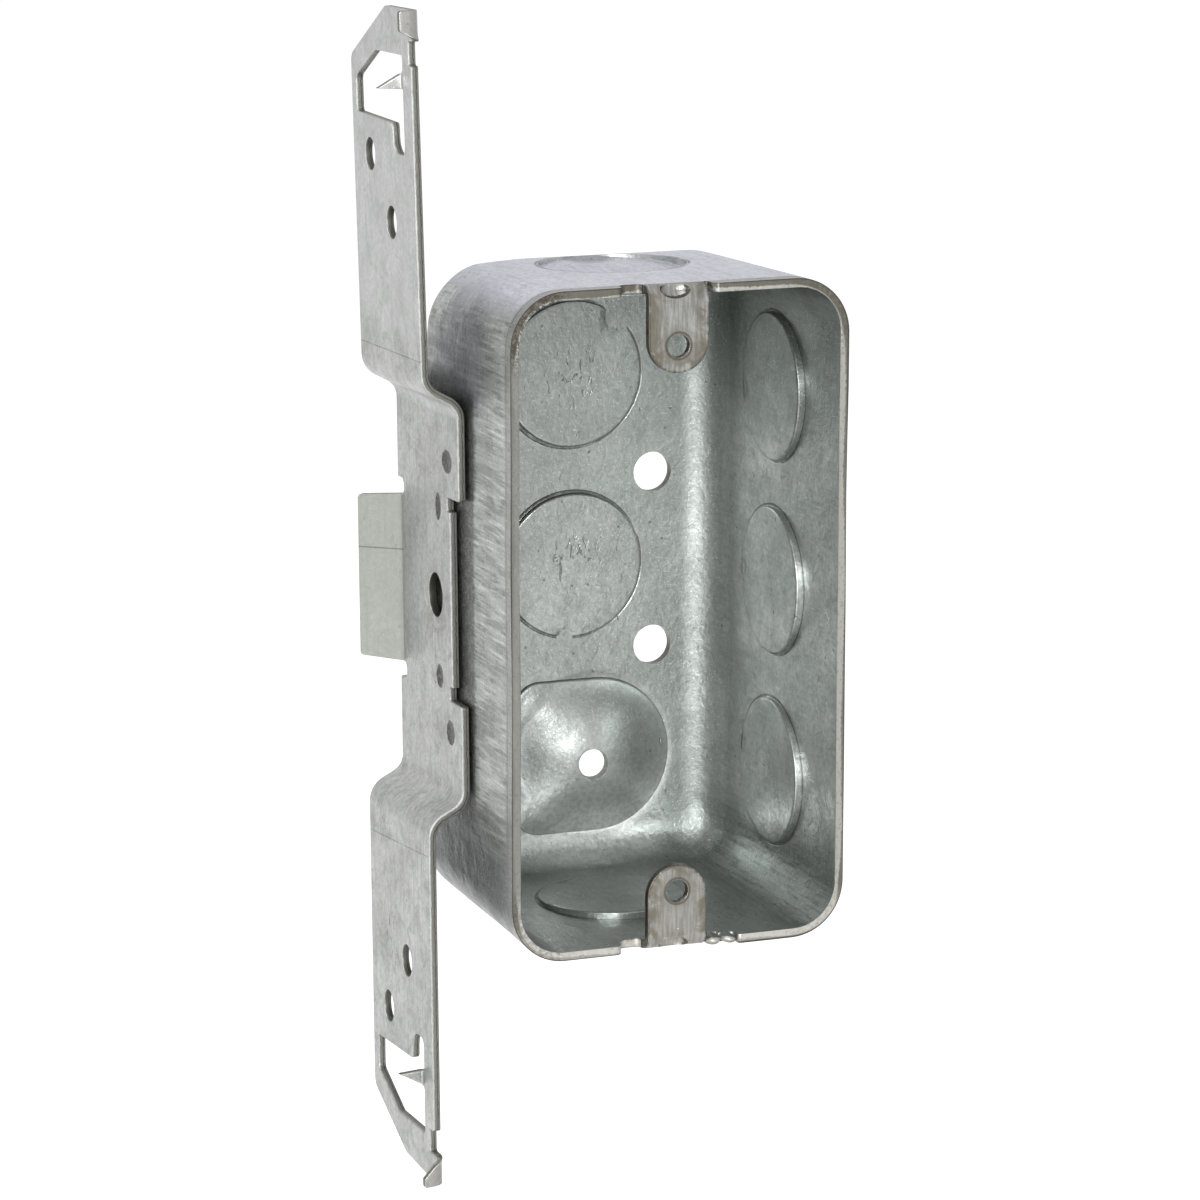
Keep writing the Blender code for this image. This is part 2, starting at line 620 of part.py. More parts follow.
def fold_across(across, height, up_place):
    """Bend the hooks, the spurs and the flag, all about lines along the blank."""
    hook_middle = HOOK_BEND_RADIUS + BRACKET_SHEET / 2.0
    spur_middle = SPUR_BEND_RADIUS + BRACKET_SHEET / 2.0
    flag_middle = FLAG_BEND_RADIUS + BRACKET_SHEET / 2.0
    flag_start = PLATE_WIDTH - FLAG_BEND_SETBACK
    up = math.copysign(1.0, up_place)
    spur_near = spur_start(up) - SINK
    spur_far = spur_near + SPUR_BASE + 2.0 * SINK
    if across < 0.0 and abs(up_place) > arm_root(up):
        path = [("bend", math.pi / 2.0, hook_middle), ("run", 0.0, 0.0)]
        ahead, out = fold(path, -across, height)
        return -ahead, out
    in_spur = FRONT_STRIP_WIDTH < across < FRONT_STRIP_WIDTH + spur_blank_reach() + SINK
    if in_spur and spur_near < abs(up_place) < spur_far:
        path = [("bend", math.pi / 2.0, spur_middle), ("run", 0.0, 0.0)]
        back, out = fold(path, across - FRONT_STRIP_WIDTH, height)
        return FRONT_STRIP_WIDTH + back, out
    if across > flag_start and abs(up_place) < FLAG_HEIGHT / 2.0 + SINK:
        path = [("bend", FLAG_ANGLE, flag_middle), ("run", 0.0, 0.0)]
        back, out = fold(path, across - flag_start, height)
        return flag_start + back, out
    return across, height


def fold_along(up_place, height):
    """Step the two arms outwards from the plate."""
    up = math.copysign(1.0, up_place)
    path = arm_path(UPPER_ARM_LEAN if up > 0 else LOWER_ARM_LEAN)
    rise, out = fold(path, abs(up_place), height)
    return up * rise, out


def bracket_frame():
    """Where the bracket sits: flat on the drafted left wall, tilted a little in its plane."""
    middle_depth = PLATE_SETBACK + PLATE_WIDTH / 2.0
    outward = Vector((-math.cos(WALL_DRAFT), math.sin(WALL_DRAFT), 0.0))
    rearward = Vector((math.sin(WALL_DRAFT), math.cos(WALL_DRAFT), 0.0))
    upward = Vector((0.0, 0.0, 1.0))
    tilt = Matrix.Rotation(PLATE_TILT, 3, outward)
    wall = Vector((wall_inset(middle_depth) - BOX_WIDTH / 2.0, middle_depth, 0.0))
    origin = wall + outward * (WELD_GAP + BRACKET_SHEET / 2.0)
    return origin, tilt @ rearward, tilt @ upward, outward


def build_bracket():
    """The stud bracket, folded from one flat blank."""
    bm = bracket_blank()
    hook_reach = hook_blank_reach()
    cuts = [-hook_reach * share / 8.0 for share in range(1, 8)] + [0.0]
    spur_middle = SPUR_BEND_RADIUS + BRACKET_SHEET / 2.0
    cuts += bend_places([("bend", math.pi / 2.0, spur_middle)], FRONT_STRIP_WIDTH)
    flag_middle = FLAG_BEND_RADIUS + BRACKET_SHEET / 2.0
    cuts += bend_places([("bend", FLAG_ANGLE, flag_middle)], PLATE_WIDTH - FLAG_BEND_SETBACK)
    slice_blank(bm, 0, cuts)
    slice_blank(bm, 1, bend_places(arm_path(UPPER_ARM_LEAN), 0.0))
    slice_blank(bm, 1, [-place for place in bend_places(arm_path(LOWER_ARM_LEAN), 0.0)])
    thicken_blank(bm, BRACKET_SHEET)
    origin, rearward, upward, outward = bracket_frame()
    for vert in bm.verts:
        across, height = fold_across(vert.co.x, vert.co.z, vert.co.y)
        rise, out = fold_along(vert.co.y, height)
        offset = rearward * (across - PLATE_WIDTH / 2.0) + upward * rise + outward * out
        vert.co = origin + offset
    return object_from(bm, "stud_bracket")


def main():
    """Build both pieces and put them in the part's frame."""
    clear_scene()
    box = build_box()
    bracket = build_bracket()
    box.data.materials.append(steel("box_steel", (0.50, 0.52, 0.51), 0.45))
    bracket.data.materials.append(steel("bracket_steel", (0.56, 0.57, 0.57), 0.45))
    frame = bpy.data.objects.new("frame", None)
    bpy.context.scene.collection.objects.link(frame)
    frame.location.y = KNOCKOUT_STEP - BOX_DEPTH
    for item in (box, bracket):
        item.parent = frame
        item.data.set_sharp_from_angle(angle=math.radians(30.0))
        item.data.shade_smooth()


main()
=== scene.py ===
"""The looks of the electrical wall box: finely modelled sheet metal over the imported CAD.

Lengths are in metres. Shapes are worked out with Y = 0 on the plane of the open rim, and
moved back to the part's own frame, whose origin is on the outer face of the middle rear
knockout, as each piece is finished.
"""

import math

import bmesh
import bpy
from mathutils import Matrix, Vector, noise


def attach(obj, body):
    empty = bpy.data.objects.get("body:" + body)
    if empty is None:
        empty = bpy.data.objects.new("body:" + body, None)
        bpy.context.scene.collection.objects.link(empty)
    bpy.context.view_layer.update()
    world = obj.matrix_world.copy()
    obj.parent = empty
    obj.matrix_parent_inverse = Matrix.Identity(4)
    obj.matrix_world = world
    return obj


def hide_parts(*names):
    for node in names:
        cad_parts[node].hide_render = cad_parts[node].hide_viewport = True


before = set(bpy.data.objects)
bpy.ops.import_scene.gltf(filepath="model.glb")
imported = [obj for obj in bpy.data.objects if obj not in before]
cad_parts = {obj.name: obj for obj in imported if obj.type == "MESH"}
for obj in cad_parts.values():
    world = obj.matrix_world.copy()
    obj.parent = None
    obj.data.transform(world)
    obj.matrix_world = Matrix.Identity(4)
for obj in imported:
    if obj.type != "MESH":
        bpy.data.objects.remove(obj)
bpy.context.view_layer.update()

# Drawn box
BOX_WIDTH = 0.0540
BOX_HEIGHT = 0.1016
BOX_DEPTH = 0.0476
SIDE_SHEET = 0.0014
BACK_SHEET = 0.0016
RIM_CORNER_RADIUS = 0.0084
BACK_CORNER_RADIUS = 0.0090
INNER_BACK_CORNER_RADIUS = 0.0048
BACK_EDGE_RADIUS = 0.0076
WALL_DRAFT = math.radians(1.25)
WALL_ROWS = (0.04, 0.1, 0.2, 0.35, 0.5, 0.65, 0.82)

# Knockouts: discs sheared nearly all round and pushed a little into the box. Where the last
# bit of metal stays whole, at the tie, a disc dips. Its edge drops away as the profile says,
# in pairs of a share of the radius and a drop.
KNOCKOUT_RADIUS = 0.0115
KNOCKOUT_PITCH = 0.0305
KNOCKOUT_STEP = 0.0009
WALL_KNOCKOUT_DEPTH = 0.0236
TOP_KNOCKOUT_STEP = 0.0021
TOP_KNOCKOUT_DEPTH = 0.0292
TOP_KNOCKOUT_SIDE = 0.0004
BOTTOM_KNOCKOUT_DEPTH = 0.0242
BOTTOM_KNOCKOUT_SIDE = -0.0016
SIDE_TIE = math.radians(10.0)
BOTTOM_TIE = math.radians(20.0)
UPPER_BACK_TIE = math.radians(48.0)
MIDDLE_BACK_TIE = math.radians(-95.0)
COIN_LOW_SIDE = 0.00022
COIN_EXTRA = 0.0003
COIN_TIE_DIP = 0.0003
COIN_TIE_REACH = 0.0017
WIDE_TIE_REACH = 0.0034
COIN_SINK_SHARE = 0.4
COIN_PROFILE = ((1.0, 0.00034), (0.994, 0.00018), (0.984, 0.00007), (0.97, 0.00001), (0.95, 0.0),
                (0.9, 0.0), (0.82, 0.0), (0.7, 0.0), (0.5, 0.0), (0.3, 0.0), (0.1, 0.0))

# Raised grounding boss, with a low lip round its dome, and the fixing holes in the back wall
BOSS_WIDTH = 0.0262
BOSS_HEIGHT = 0.0250
BOSS_RISE = 0.0042
BOSS_CORNER_RADIUS = 0.0042
BOSS_CENTRE_X = 0.0034
BOSS_CENTRE_Z = -0.0311
BOSS_POINT_SPACING = 0.0006
BOSS_LIP = 0.0006
BOSS_LIP_SHARE = 0.955
BOSS_FOOT = ((1.0, 0.0), (0.997, 0.00025), (0.988, 0.00045), (0.972, 0.00056))
BOSS_ROUND_SHARE = 0.45
BOSS_STEEPEST = 0.54
BOSS_STEEPEST_SHARE = 0.74
BOSS_FLATTER_SHARE = 0.78
BOSS_FLATTER = 0.45
BOSS_STEPS = 24
GROUND_HOLE_RADIUS = 0.00250
GROUND_HOLE_OFFSET_X = -0.0012
GROUND_HOLE_OFFSET_Z = -0.0006
FIXING_HOLE_RADIUS = 0.00318
FIXING_HOLE_X = 0.0138
FIXING_HOLE_Z = 0.0140

# Device tabs, bent inwards from the top and bottom of the rim, with a dent across the bend
TAB_WIDTH = 0.0097
TAB_CENTRE_X = -0.0004
TAB_HOLE_SPACING = 0.0834
TAB_HOLE_RADIUS = 0.00170
TAB_TIP_Z = 0.0376
TAB_BEND_RADIUS = 0.0007
TAB_SHEET = 0.00132
LENS_WIDTH = 0.0050
LENS_DEPTH = 0.00125
LENS_SQUASH = 0.66
LENS_SHIFT = -0.0004
THREAD_PITCH = 0.00079
THREAD_DEPTH = 0.00024
THREAD_CREST_SHARE = 0.4

# The rim beside a tab: a notch at its left, a slit or two lumps at its right
NOTCH_DEPTH = 0.0031
NOTCH_ROUNDING = 0.0015
LEFT_NOTCH_WIDTH = 0.0039
RIM_FILLET = 0.0013
UPPER_SLIT_WIDTH = 0.0007
SLIT_DEPTH = 0.0025
LUMP_SEAT_DEPTH = 0.00175
LUMP_WIDTH = 0.0026
LUMP_DEPTH = 0.0018
LUMP_HEIGHT = 0.0014
LUMP_ROUNDING = 0.0007

# Stud bracket: one stamping, a plate with two arms stepped outwards
BRACKET_SHEET = 0.00125
PLATE_WIDTH = 0.0300
PLATE_SETBACK = 0.0195
PLATE_HALF_HEIGHT = 0.0285
PLATE_TILT = math.radians(1.7)
STEP_ANGLE = math.radians(62.0)
STEP_BEND_RADIUS = 0.0028
STEP_SLOPE_LENGTH = 0.0022
ARM_LENGTH = 0.0546
ARM_TAPER_LENGTH = 0.0083
ARM_END_ROUNDING = 0.0012
ARM_TAPER_ROUNDING = 0.0020
ARM_HOLE_RADIUS = 0.0025
NEAR_HOLE_FROM_FRONT = 0.0120
NEAR_HOLE_FROM_STEP = 0.0220
FAR_HOLE_FROM_FRONT = 0.0217
FAR_HOLE_FROM_STEP = 0.0316

# Window, spur and hook at the end of each arm
WINDOW_FROM_STEP = 0.0377
WINDOW_NEAR_SLANT = 0.00055
FRONT_STRIP_WIDTH = 0.0042
REAR_STRIP_WIDTH = 0.0023
WINDOW_SHORT_SIDE = 0.0054
WINDOW_LONG_SIDE = 0.0099
WINDOW_TAPER_WIDTH = 0.0099
SLOT_WIDTH = 0.0057
SLOT_DEPTH = 0.0045
SLOT_ROUNDING = 0.0025
SPUR_LENGTH = 0.0050
SPUR_BASE = 0.0030
SPUR_POINT_SHARE = 0.13
SPUR_BEND_RADIUS = 0.0003
HOOK_BEND_RADIUS = 0.0006
HOOK_REACH = 0.0033
HOOK_ROOT_LENGTH = 0.0047
HOOK_NOTCH_LENGTH = 0.0036
HOOK_NUB = 0.0012
HOOK_CUT = 0.0004
HOOK_SLICES = 16

# Where the upper arm (1.0) and the lower one (-1.0) differ
ARM_LEAN = {1.0: math.radians(1.0), -1.0: 0.0}
ARM_SHORTER = {1.0: 0.0, -1.0: 0.0003}
ARM_END_WIDTH = {1.0: 0.0120, -1.0: 0.0140}
ARM_END_SLANT = {1.0: 0.0, -1.0: 0.0012}
SPUR_FROM_STEP = {1.0: 0.0425, -1.0: 0.0376}
HOOK_TIP_LENGTH = {1.0: 0.0030, -1.0: 0.0014}
HOOK_NOTCH_DEPTH = {1.0: 0.0011, -1.0: 0.0020}

# Middle of the bracket; each weld mark is its place on the flat blank and its half sizes
FLAG_LENGTH = 0.0086
FLAG_HEIGHT = 0.0268
FLAG_TAPER = 0.0006
FLAG_ANGLE = math.radians(47.0)
FLAG_BEND_RADIUS = 0.0012
FLAG_BEND_SETBACK = 0.0022
RELIEF_WIDTH = 0.0024
RELIEF_DEPTH = 0.0030
CENTRE_HOLE_RADIUS = 0.0034
CENTRE_HOLE_FROM_FRONT = 0.0118
LIP_RECESS = 0.0044
LIP_TOP = 0.0160
LIP_BOTTOM = 0.0155
LIP_SLOT_WIDTH = 0.0022
LIP_SLOT_DEPTH = 0.0013
CORNER_ROUNDING = 0.0004
WELD_MARKS = ((0.0052, 0.0215, 0.0024, 0.0019), (0.0098, 0.0140, 0.0013, 0.0022),
              (0.0102, -0.0124, 0.0017, 0.0019), (0.0053, -0.0204, 0.0020, 0.0020))
WELD_MARK_DEPTH = 0.00022
UPPER_DARK_LINE = 0.0021
LOWER_DARK_LINE = 0.0030
LOWER_DARK_LINE_SLOPE = 0.061

# Clearance between the two pieces, how far joined solids sink into each other, and how close
# points have to be to become one
WELD_GAP = 0.0003
SINK = 0.00004
MERGE_REACH = 0.000001

# Sheared edges, and how far the drawn walls wave and the corner behind the upper arm sags
DIE_ROLL = 0.00022
SHEARED_EDGE_ROUNDING = 0.00014
WALL_WAVE = 0.00013
WAVES_PER_METRE = 38.0
RIM_WAVE_DEPTH = 0.020
SIDE_WAVES = (0.018, 0.026)
END_WAVES = (0.040, 0.050)
BACK_WAVES = (0.030, 0.045)
CORNER_SAG = (0.00144, 0.0, -0.0008)
SAG_FROM_FRONT = (0.020, 0.046)
SAG_UPWARDS = (0.031, 0.048)
SAG_LEFTWARDS = (0.008, 0.024)

# How far the box's masks reach beyond the shapes they stand for
TAB_MARGIN = 0.0004
TAB_TIP_MARGIN = 0.0005
RIM_FACE_DEPTH = 0.0006
NOTCH_REACH = 0.005
NOTCH_LEVEL = 0.045
HOLES_DEPTH = 0.008
HOLES_HALF_WIDTH = 0.0185
HOLES_HALF_HEIGHT = 0.0455
SUNK_DISC_DEPTH = 0.0036
REAR_FOLD_DEPTH = 0.010

# Camera and light; each lamp is its name, place, width and power
CAMERA_PLACE = (-0.276977, -0.727348, 0.157625)
CAMERA_TILT = math.radians(78.136)
CAMERA_TURN = math.radians(-21.2026)
CAMERA_LENS = 150.65
CAMERA_SENSOR = 36.0
LAMPS = (("key", (-0.71, -1.62, 0.43), 0.7, 33.0), ("high", (-0.5, -0.1, 1.8), 0.9, 10.0),
         ("side", (-1.6, 0.3, 0.6), 0.8, 8.0))
LAMP_AIM = (0.0, -0.02, 0.0)
FLOOR_HALF = 12.0
FLOOR_LEVEL = -0.30
FLOOR_GLOW = 0.62
WORLD_LIGHT = 0.5

# Smoothness of the curves
CORNER_STEPS = 16
EDGE_STEPS = 12
DISC_STEPS = 96
HOLE_STEPS = 48
BEND_STEPS = 10
SIDE_STEPS = 10


def linked(name, data):
    """A new object of the scene."""
    item = bpy.data.objects.new(name, data)
    bpy.context.scene.collection.objects.link(item)
    return item


def object_from(bm, name):
    """Turn a bmesh into an object of the scene, with its faces pointing out."""
    bmesh.ops.recalc_face_normals(bm, faces=bm.faces)
    if bm.calc_volume(signed=True) < 0.0:
        bmesh.ops.reverse_faces(bm, faces=bm.faces)
    mesh = bpy.data.meshes.new(name)
    bm.to_mesh(mesh)
    bm.free()
    return linked(name, mesh)


def apply_modifiers(item):
    """Keep the mesh that the object's modifiers make, and drop the modifiers."""
    graph = bpy.context.evaluated_depsgraph_get()
    mesh = bpy.data.meshes.new_from_object(item.evaluated_get(graph))
    item.modifiers.clear()
    item.data = mesh


def clean_mesh(bm):
    """Keep the largest connected mesh and drop what a boolean leaves behind."""
    bmesh.ops.remove_doubles(bm, verts=bm.verts, dist=MERGE_REACH)
    bmesh.ops.dissolve_degenerate(bm, edges=bm.edges, dist=MERGE_REACH)
    left = set(bm.verts)
    groups = []
    while left:
        group, waiting = set(), [next(iter(left))]
        while waiting:
            vert = waiting.pop()
            if vert in group:
                continue
            group.add(vert)
            waiting += [edge.other_vert(vert) for edge in vert.link_edges]
        left -= group
        groups.append(group)
    groups.sort(key=len)
    for group in groups[:-1]:
        bmesh.ops.delete(bm, geom=list(group), context="VERTS")


def combine(target, tool, operation):
    """Cut the tool from the target or join it on, then drop the tool.

    The mesh is cleaned each time, because a boolean only gives the same result again on a
    closed mesh.
    """
    modifier = target.modifiers.new(operation.lower(), "BOOLEAN")
    modifier.operation = operation
    modifier.solver = "EXACT"
    modifier.object = tool
    apply_modifiers(target)
    bpy.data.objects.remove(tool, do_unlink=True)
    bm = bmesh.new()
    bm.from_mesh(target.data)
    clean_mesh(bm)
    bm.to_mesh(target.data)
    bm.free()


def ball(place, size, lean=0.0, steps=32):
    """A round lump: where it is, its three half sizes and its lean about Y."""
    bm = bmesh.new()
    bmesh.ops.create_uvsphere(bm, u_segments=steps, v_segments=24, radius=1.0)
    turn = Matrix.Translation(place) @ Matrix.Rotation(lean, 4, "Y")
    bmesh.ops.transform(bm, matrix=turn @ Matrix.Diagonal((*size, 1.0)), verts=bm.verts)
    return object_from(bm, "ball")


def smooth_step(value, low, high):
    """0 below low, 1 above high and smooth between."""
    share = min(max((value - low) / (high - low), 0.0), 1.0)
    return share * share * (3.0 - 2.0 * share)


def axes_matrix(x_axis, z_axis, origin):
    """A frame from its origin and its X and Z axes."""
    turn = Matrix((x_axis, z_axis.cross(x_axis), z_axis)).transposed()
    return Matrix.Translation(origin) @ turn.to_4x4()


def rounded_outline(corners, steps=4):
    """A closed outline in the plane, from (x, y, radius) corners joined by arcs."""
    points = []
    count = len(corners)
    for index, (x, y, radius) in enumerate(corners):
        corner = Vector((x, y))
        to_last = (Vector(corners[index - 1][:2]) - corner).normalized()
        to_next = (Vector(corners[(index + 1) % count][:2]) - corner).normalized()
        if radius <= 0.0:
            points.append(corner)
            continue
        half = to_last.angle(to_next) / 2.0
        reach = radius / math.tan(half)
        centre = corner + (to_last + to_next).normalized() * (radius / math.sin(half))
        start = corner + to_last * reach - centre
        end = corner + to_next * reach - centre
        sweep = start.angle_signed(end)
        for step in range(steps + 1):
            points.append(centre + Matrix.Rotation(-sweep * step / steps, 2) @ start)
    return points


def circle_outline(x, y, radius, steps=HOLE_STEPS):
    """A circle in the plane."""
    angles = [2.0 * math.pi * step / steps for step in range(steps)]
    return [Vector((x + radius * math.cos(a), y + radius * math.sin(a))) for a in angles]


def inset_loop(loop, reach, metal_inside):
    """The loop moved by reach towards the metal, its corners kept."""
    area = sum(loop[index - 1].cross(point) for index, point in enumerate(loop))
    side = math.copysign(1.0, area) * (1.0 if metal_inside else -1.0)
    moved = []
    for index, point in enumerate(loop):
        before = (point - loop[index - 1]).normalized()
        after = (loop[(index + 1) % len(loop)] - point).normalized()
        first = Vector((-before.y, before.x)) * side
        second = Vector((-after.y, after.x)) * side
        moved.append(point + (first + second) * (reach / (1.0 + first.dot(second))))
    return moved


def flat_blank(outline, holes, sheet):
    """A flat sheet with holes in the XY plane; the die rolled its edges over on the +Z side."""
    bm = bmesh.new()
    turns = [(math.sin(turn), math.cos(turn)) for turn in (math.pi / 6.0 * s for s in range(4))]
    top = [(DIE_ROLL * (1.0 - sin), sheet / 2.0 - DIE_ROLL * (1.0 - cos)) for sin, cos in turns]
    low = SHEARED_EDGE_ROUNDING
    levels = top + [(low * (1.0 - cos), low * (1.0 - sin) - sheet / 2.0) for sin, cos in turns]
    ends = ([], [])
    for number, loop in enumerate([outline] + holes):
        loop = [point for index, point in enumerate(loop)
                if (point - loop[index - 1]).length > SINK]
        rings = []
        for reach, height in levels:
            ring = inset_loop(loop, reach, number == 0)
            rings.append([bm.verts.new((point.x, point.y, height)) for point in ring])
        join_rings(bm, rings)
        for end, ring in zip(ends, (rings[0], rings[-1])):
            end += [bm.edges.get((ring[index - 1], vert)) for index, vert in enumerate(ring)]
    for end in ends:
        bmesh.ops.triangle_fill(bm, edges=end, use_beauty=True, use_dissolve=False)
    return bm


def slice_blank(bm, axis, places):
    """Cut the sheet along the lines where it will bend."""
    normal = Vector((1.0, 0.0, 0.0)) if axis == 0 else Vector((0.0, 1.0, 0.0))
    for place in places:
        everything = bm.verts[:] + bm.edges[:] + bm.faces[:]
        bmesh.ops.bisect_plane(bm, geom=everything, dist=MERGE_REACH,
                               plane_co=normal * place, plane_no=normal)


def bend_places(pieces, start):
    """Where, along the flat sheet, each bend of a folding path needs a cut."""
    places = []
    reach = start
    for kind, size, radius in pieces:
        length = size if kind == "run" else abs(size) * radius
        if kind == "bend":
            places += [reach + length * step / BEND_STEPS for step in range(BEND_STEPS + 1)]
        reach += length
    return places


def fold(pieces, along, height):
    """Follow a path of straight runs and bends; returns the place in the folded plane.

    The path starts along the first axis. A positive bend turns towards the second axis.
    """
    heading = 0.0
    x, y = 0.0, 0.0
    left = along
    for index, (kind, size, radius) in enumerate(pieces):
        length = size if kind == "run" else abs(size) * radius
        last = index == len(pieces) - 1
        part = left if last else min(left, length)
        if kind == "run":
            x += math.cos(heading) * part
            y += math.sin(heading) * part
        else:
            side = math.copysign(1.0, size)
            turn = side * part / radius
            x += side * radius * (math.sin(heading + turn) - math.sin(heading))
            y -= side * radius * (math.cos(heading + turn) - math.cos(heading))
            heading += turn
        left -= part
        if left <= 0.0:
            break
    return x - math.sin(heading) * height, y + math.cos(heading) * height


def bend_then_run(angle, radius):
    """A folding path of one bend and a straight run of any length."""
    return [("bend", angle, radius), ("run", 0.0, 0.0)]


def extruded(outline, low, high):
    """A solid of one outline, between two heights along Z."""
    bm = bmesh.new()
    face = bm.faces.new([bm.verts.new((point.x, point.y, low)) for point in outline])
    made = bmesh.ops.extrude_face_region(bm, geom=[face], use_keep_orig=True)
    raised = [item for item in made["geom"] if isinstance(item, bmesh.types.BMVert)]
    bmesh.ops.translate(bm, verts=raised, vec=(0.0, 0.0, high - low))
    return bm


def join_rings(bm, rings):
    """Join rings of mesh points with quads."""
    for near, far in zip(rings, rings[1:]):
        for index in range(len(near)):
            bm.faces.new((near[index - 1], near[index], far[index], far[index - 1]))


def skinned(rings, name):
    """An object of quads between rings of points, its first and last ring filled."""
    bm = bmesh.new()
    made = [[bm.verts.new(point) for point in ring] for ring in rings]
    join_rings(bm, made)
    bm.faces.new(made[0])
    bm.faces.new(made[-1])
    return object_from(bm, name)


def wall_inset(depth):
    """How far the drafted outer wall has drawn in at a depth behind the rim."""
    return depth * math.tan(WALL_DRAFT)


def wall_profile(sheet, back_sheet):
    """Inset and depth along one skin of the wall, from the rim round to the back."""
    radius = BACK_EDGE_RADIUS - sheet
    centre_depth = BOX_DEPTH - back_sheet - radius
    centre_inset = wall_inset(centre_depth) + (sheet + radius) / math.cos(WALL_DRAFT)
    profile = [(sheet / math.cos(WALL_DRAFT), 0.0)]
    for step in range(EDGE_STEPS + 1):
        angle = WALL_DRAFT + (math.pi / 2.0 - WALL_DRAFT) * step / EDGE_STEPS
        inset = centre_inset - radius * math.cos(angle)
        profile.append((inset, centre_depth + radius * math.sin(angle)))
    return profile


def box_ring(inset, depth, rim_radius, back_radius):
    """One rounded rectangle of the box's skin, with extra points along its straight sides."""
    share = min(inset / wall_profile(0.0, 0.0)[-1][0], 1.0)
    radius = rim_radius + (back_radius - rim_radius) * share
    half_x = BOX_WIDTH / 2.0 - inset
    half_z = BOX_HEIGHT / 2.0 - inset
    corners = [(half_x, half_z, radius), (-half_x, half_z, radius),
               (-half_x, -half_z, radius), (half_x, -half_z, radius)]
    outline = rounded_outline(corners, CORNER_STEPS)
    ring = []
    for index, point in enumerate(outline):
        ring.append((point.x, depth, point.y))
        if index % (CORNER_STEPS + 1) == CORNER_STEPS:
            after = outline[(index + 1) % len(outline)]
            for step in range(1, SIDE_STEPS):
                between = point.lerp(after, step / SIDE_STEPS)
                ring.append((between.x, depth, between.y))
    return ring


def wall_rings(sheet, back_sheet, rim_radius, back_radius):
    """The rings of one skin, with extra rows between the rim and the fold."""
    profile = wall_profile(sheet, back_sheet)
    (rim_inset, _), (fold_inset, fold_depth) = profile[:2]
    rows = [(rim_inset + (fold_inset - rim_inset) * share, fold_depth * share)
            for share in WALL_ROWS]
    places = profile[:1] + rows + profile[1:]
    return [box_ring(*place, rim_radius, back_radius) for place in places]


def drawn_shell():
    """The deep-drawn box as one closed sheet: outer skin, rim, inner skin."""
    outer = wall_rings(0.0, 0.0, RIM_CORNER_RADIUS, BACK_CORNER_RADIUS)
    inner = wall_rings(SIDE_SHEET, BACK_SHEET, RIM_CORNER_RADIUS - SIDE_SHEET,
                       INNER_BACK_CORNER_RADIUS)
    return skinned(outer[::-1] + inner, "box_body")


def coin(radius, sunk, step, tie_angle, tie_reach):
    """A disc with a flat side at -sunk and a raised, tilted side that peaks at +step.

    The tilt is lowest at the tie, where the last bit of metal stays whole.
    """
    tie = Vector((radius * math.cos(tie_angle), radius * math.sin(tie_angle)))
    peak = step + COIN_EXTRA
    rings = []
    for share, drop in COIN_PROFILE:
        ring = []
        for point in circle_outline(0.0, 0.0, radius * share, DISC_STEPS):
            away = max(0.5 - 0.5 * point.dot(tie) / (radius * radius), 0.0)
            height = COIN_LOW_SIDE + (peak - COIN_LOW_SIDE) * away ** 0.8 - drop * away
            ramp = smooth_step((point - tie).length, 0.0, tie_reach)
            ring.append((point.x, point.y, (height + COIN_TIE_DIP) * ramp - COIN_TIE_DIP))
        rings.append(ring)
    base = [(x, y, -sunk) for x, y, _ in rings[0]]
    return skinned([base] + rings, "knockout")


def wall_frame(side, depth, height):
    """The frame of a knockout: origin on the outer skin, Z into the box, X to the back.

    On the top and the bottom, height is the place across the box.
    """
    cos, sin = math.cos(WALL_DRAFT), math.sin(WALL_DRAFT)
    inset = wall_inset(depth)
    if side == "right":
        origin = Vector((BOX_WIDTH / 2.0 - inset, depth, height))
        return origin, Vector((-sin, cos, 0.0)), Vector((-cos, -sin, 0.0))
    if side == "back":
        origin = Vector((0.0, BOX_DEPTH, height))
        return origin, Vector((1.0, 0.0, 0.0)), Vector((0.0, -1.0, 0.0))
    up = 1.0 if side == "top" else -1.0
    origin = Vector((height, depth, up * (BOX_HEIGHT / 2.0 - inset)))
    return origin, Vector((0.0, cos, -up * sin)), Vector((0.0, -sin, -up * cos))


def add_knockout(box, side, depth, height, tie_angle, step=KNOCKOUT_STEP,
                 tie_reach=COIN_TIE_REACH):
    """Press one knockout disc into a wall: a recess outside and a raised disc inside."""
    origin, x_axis, z_axis = wall_frame(side, depth, height)
    sheet = BACK_SHEET if side == "back" else SIDE_SHEET
    raised = coin(KNOCKOUT_RADIUS, sheet * COIN_SINK_SHARE, step, tie_angle, tie_reach)
    raised.data.transform(axes_matrix(x_axis, z_axis, origin + z_axis * sheet))
    combine(box, raised, "UNION")
    recess = coin(KNOCKOUT_RADIUS - SINK, sheet, step - COIN_EXTRA, tie_angle, tie_reach)
    recess.data.transform(axes_matrix(x_axis, z_axis, origin))
    combine(box, recess, "DIFFERENCE")


def evened(outline, spacing):
    """The outline with extra points along its long straight sides."""
    points = []
    for index, point in enumerate(outline):
        after = outline[(index + 1) % len(outline)]
        pieces = max(round((after - point).length / spacing), 1)
        points += [point.lerp(after, step / pieces) for step in range(pieces)]
    return points


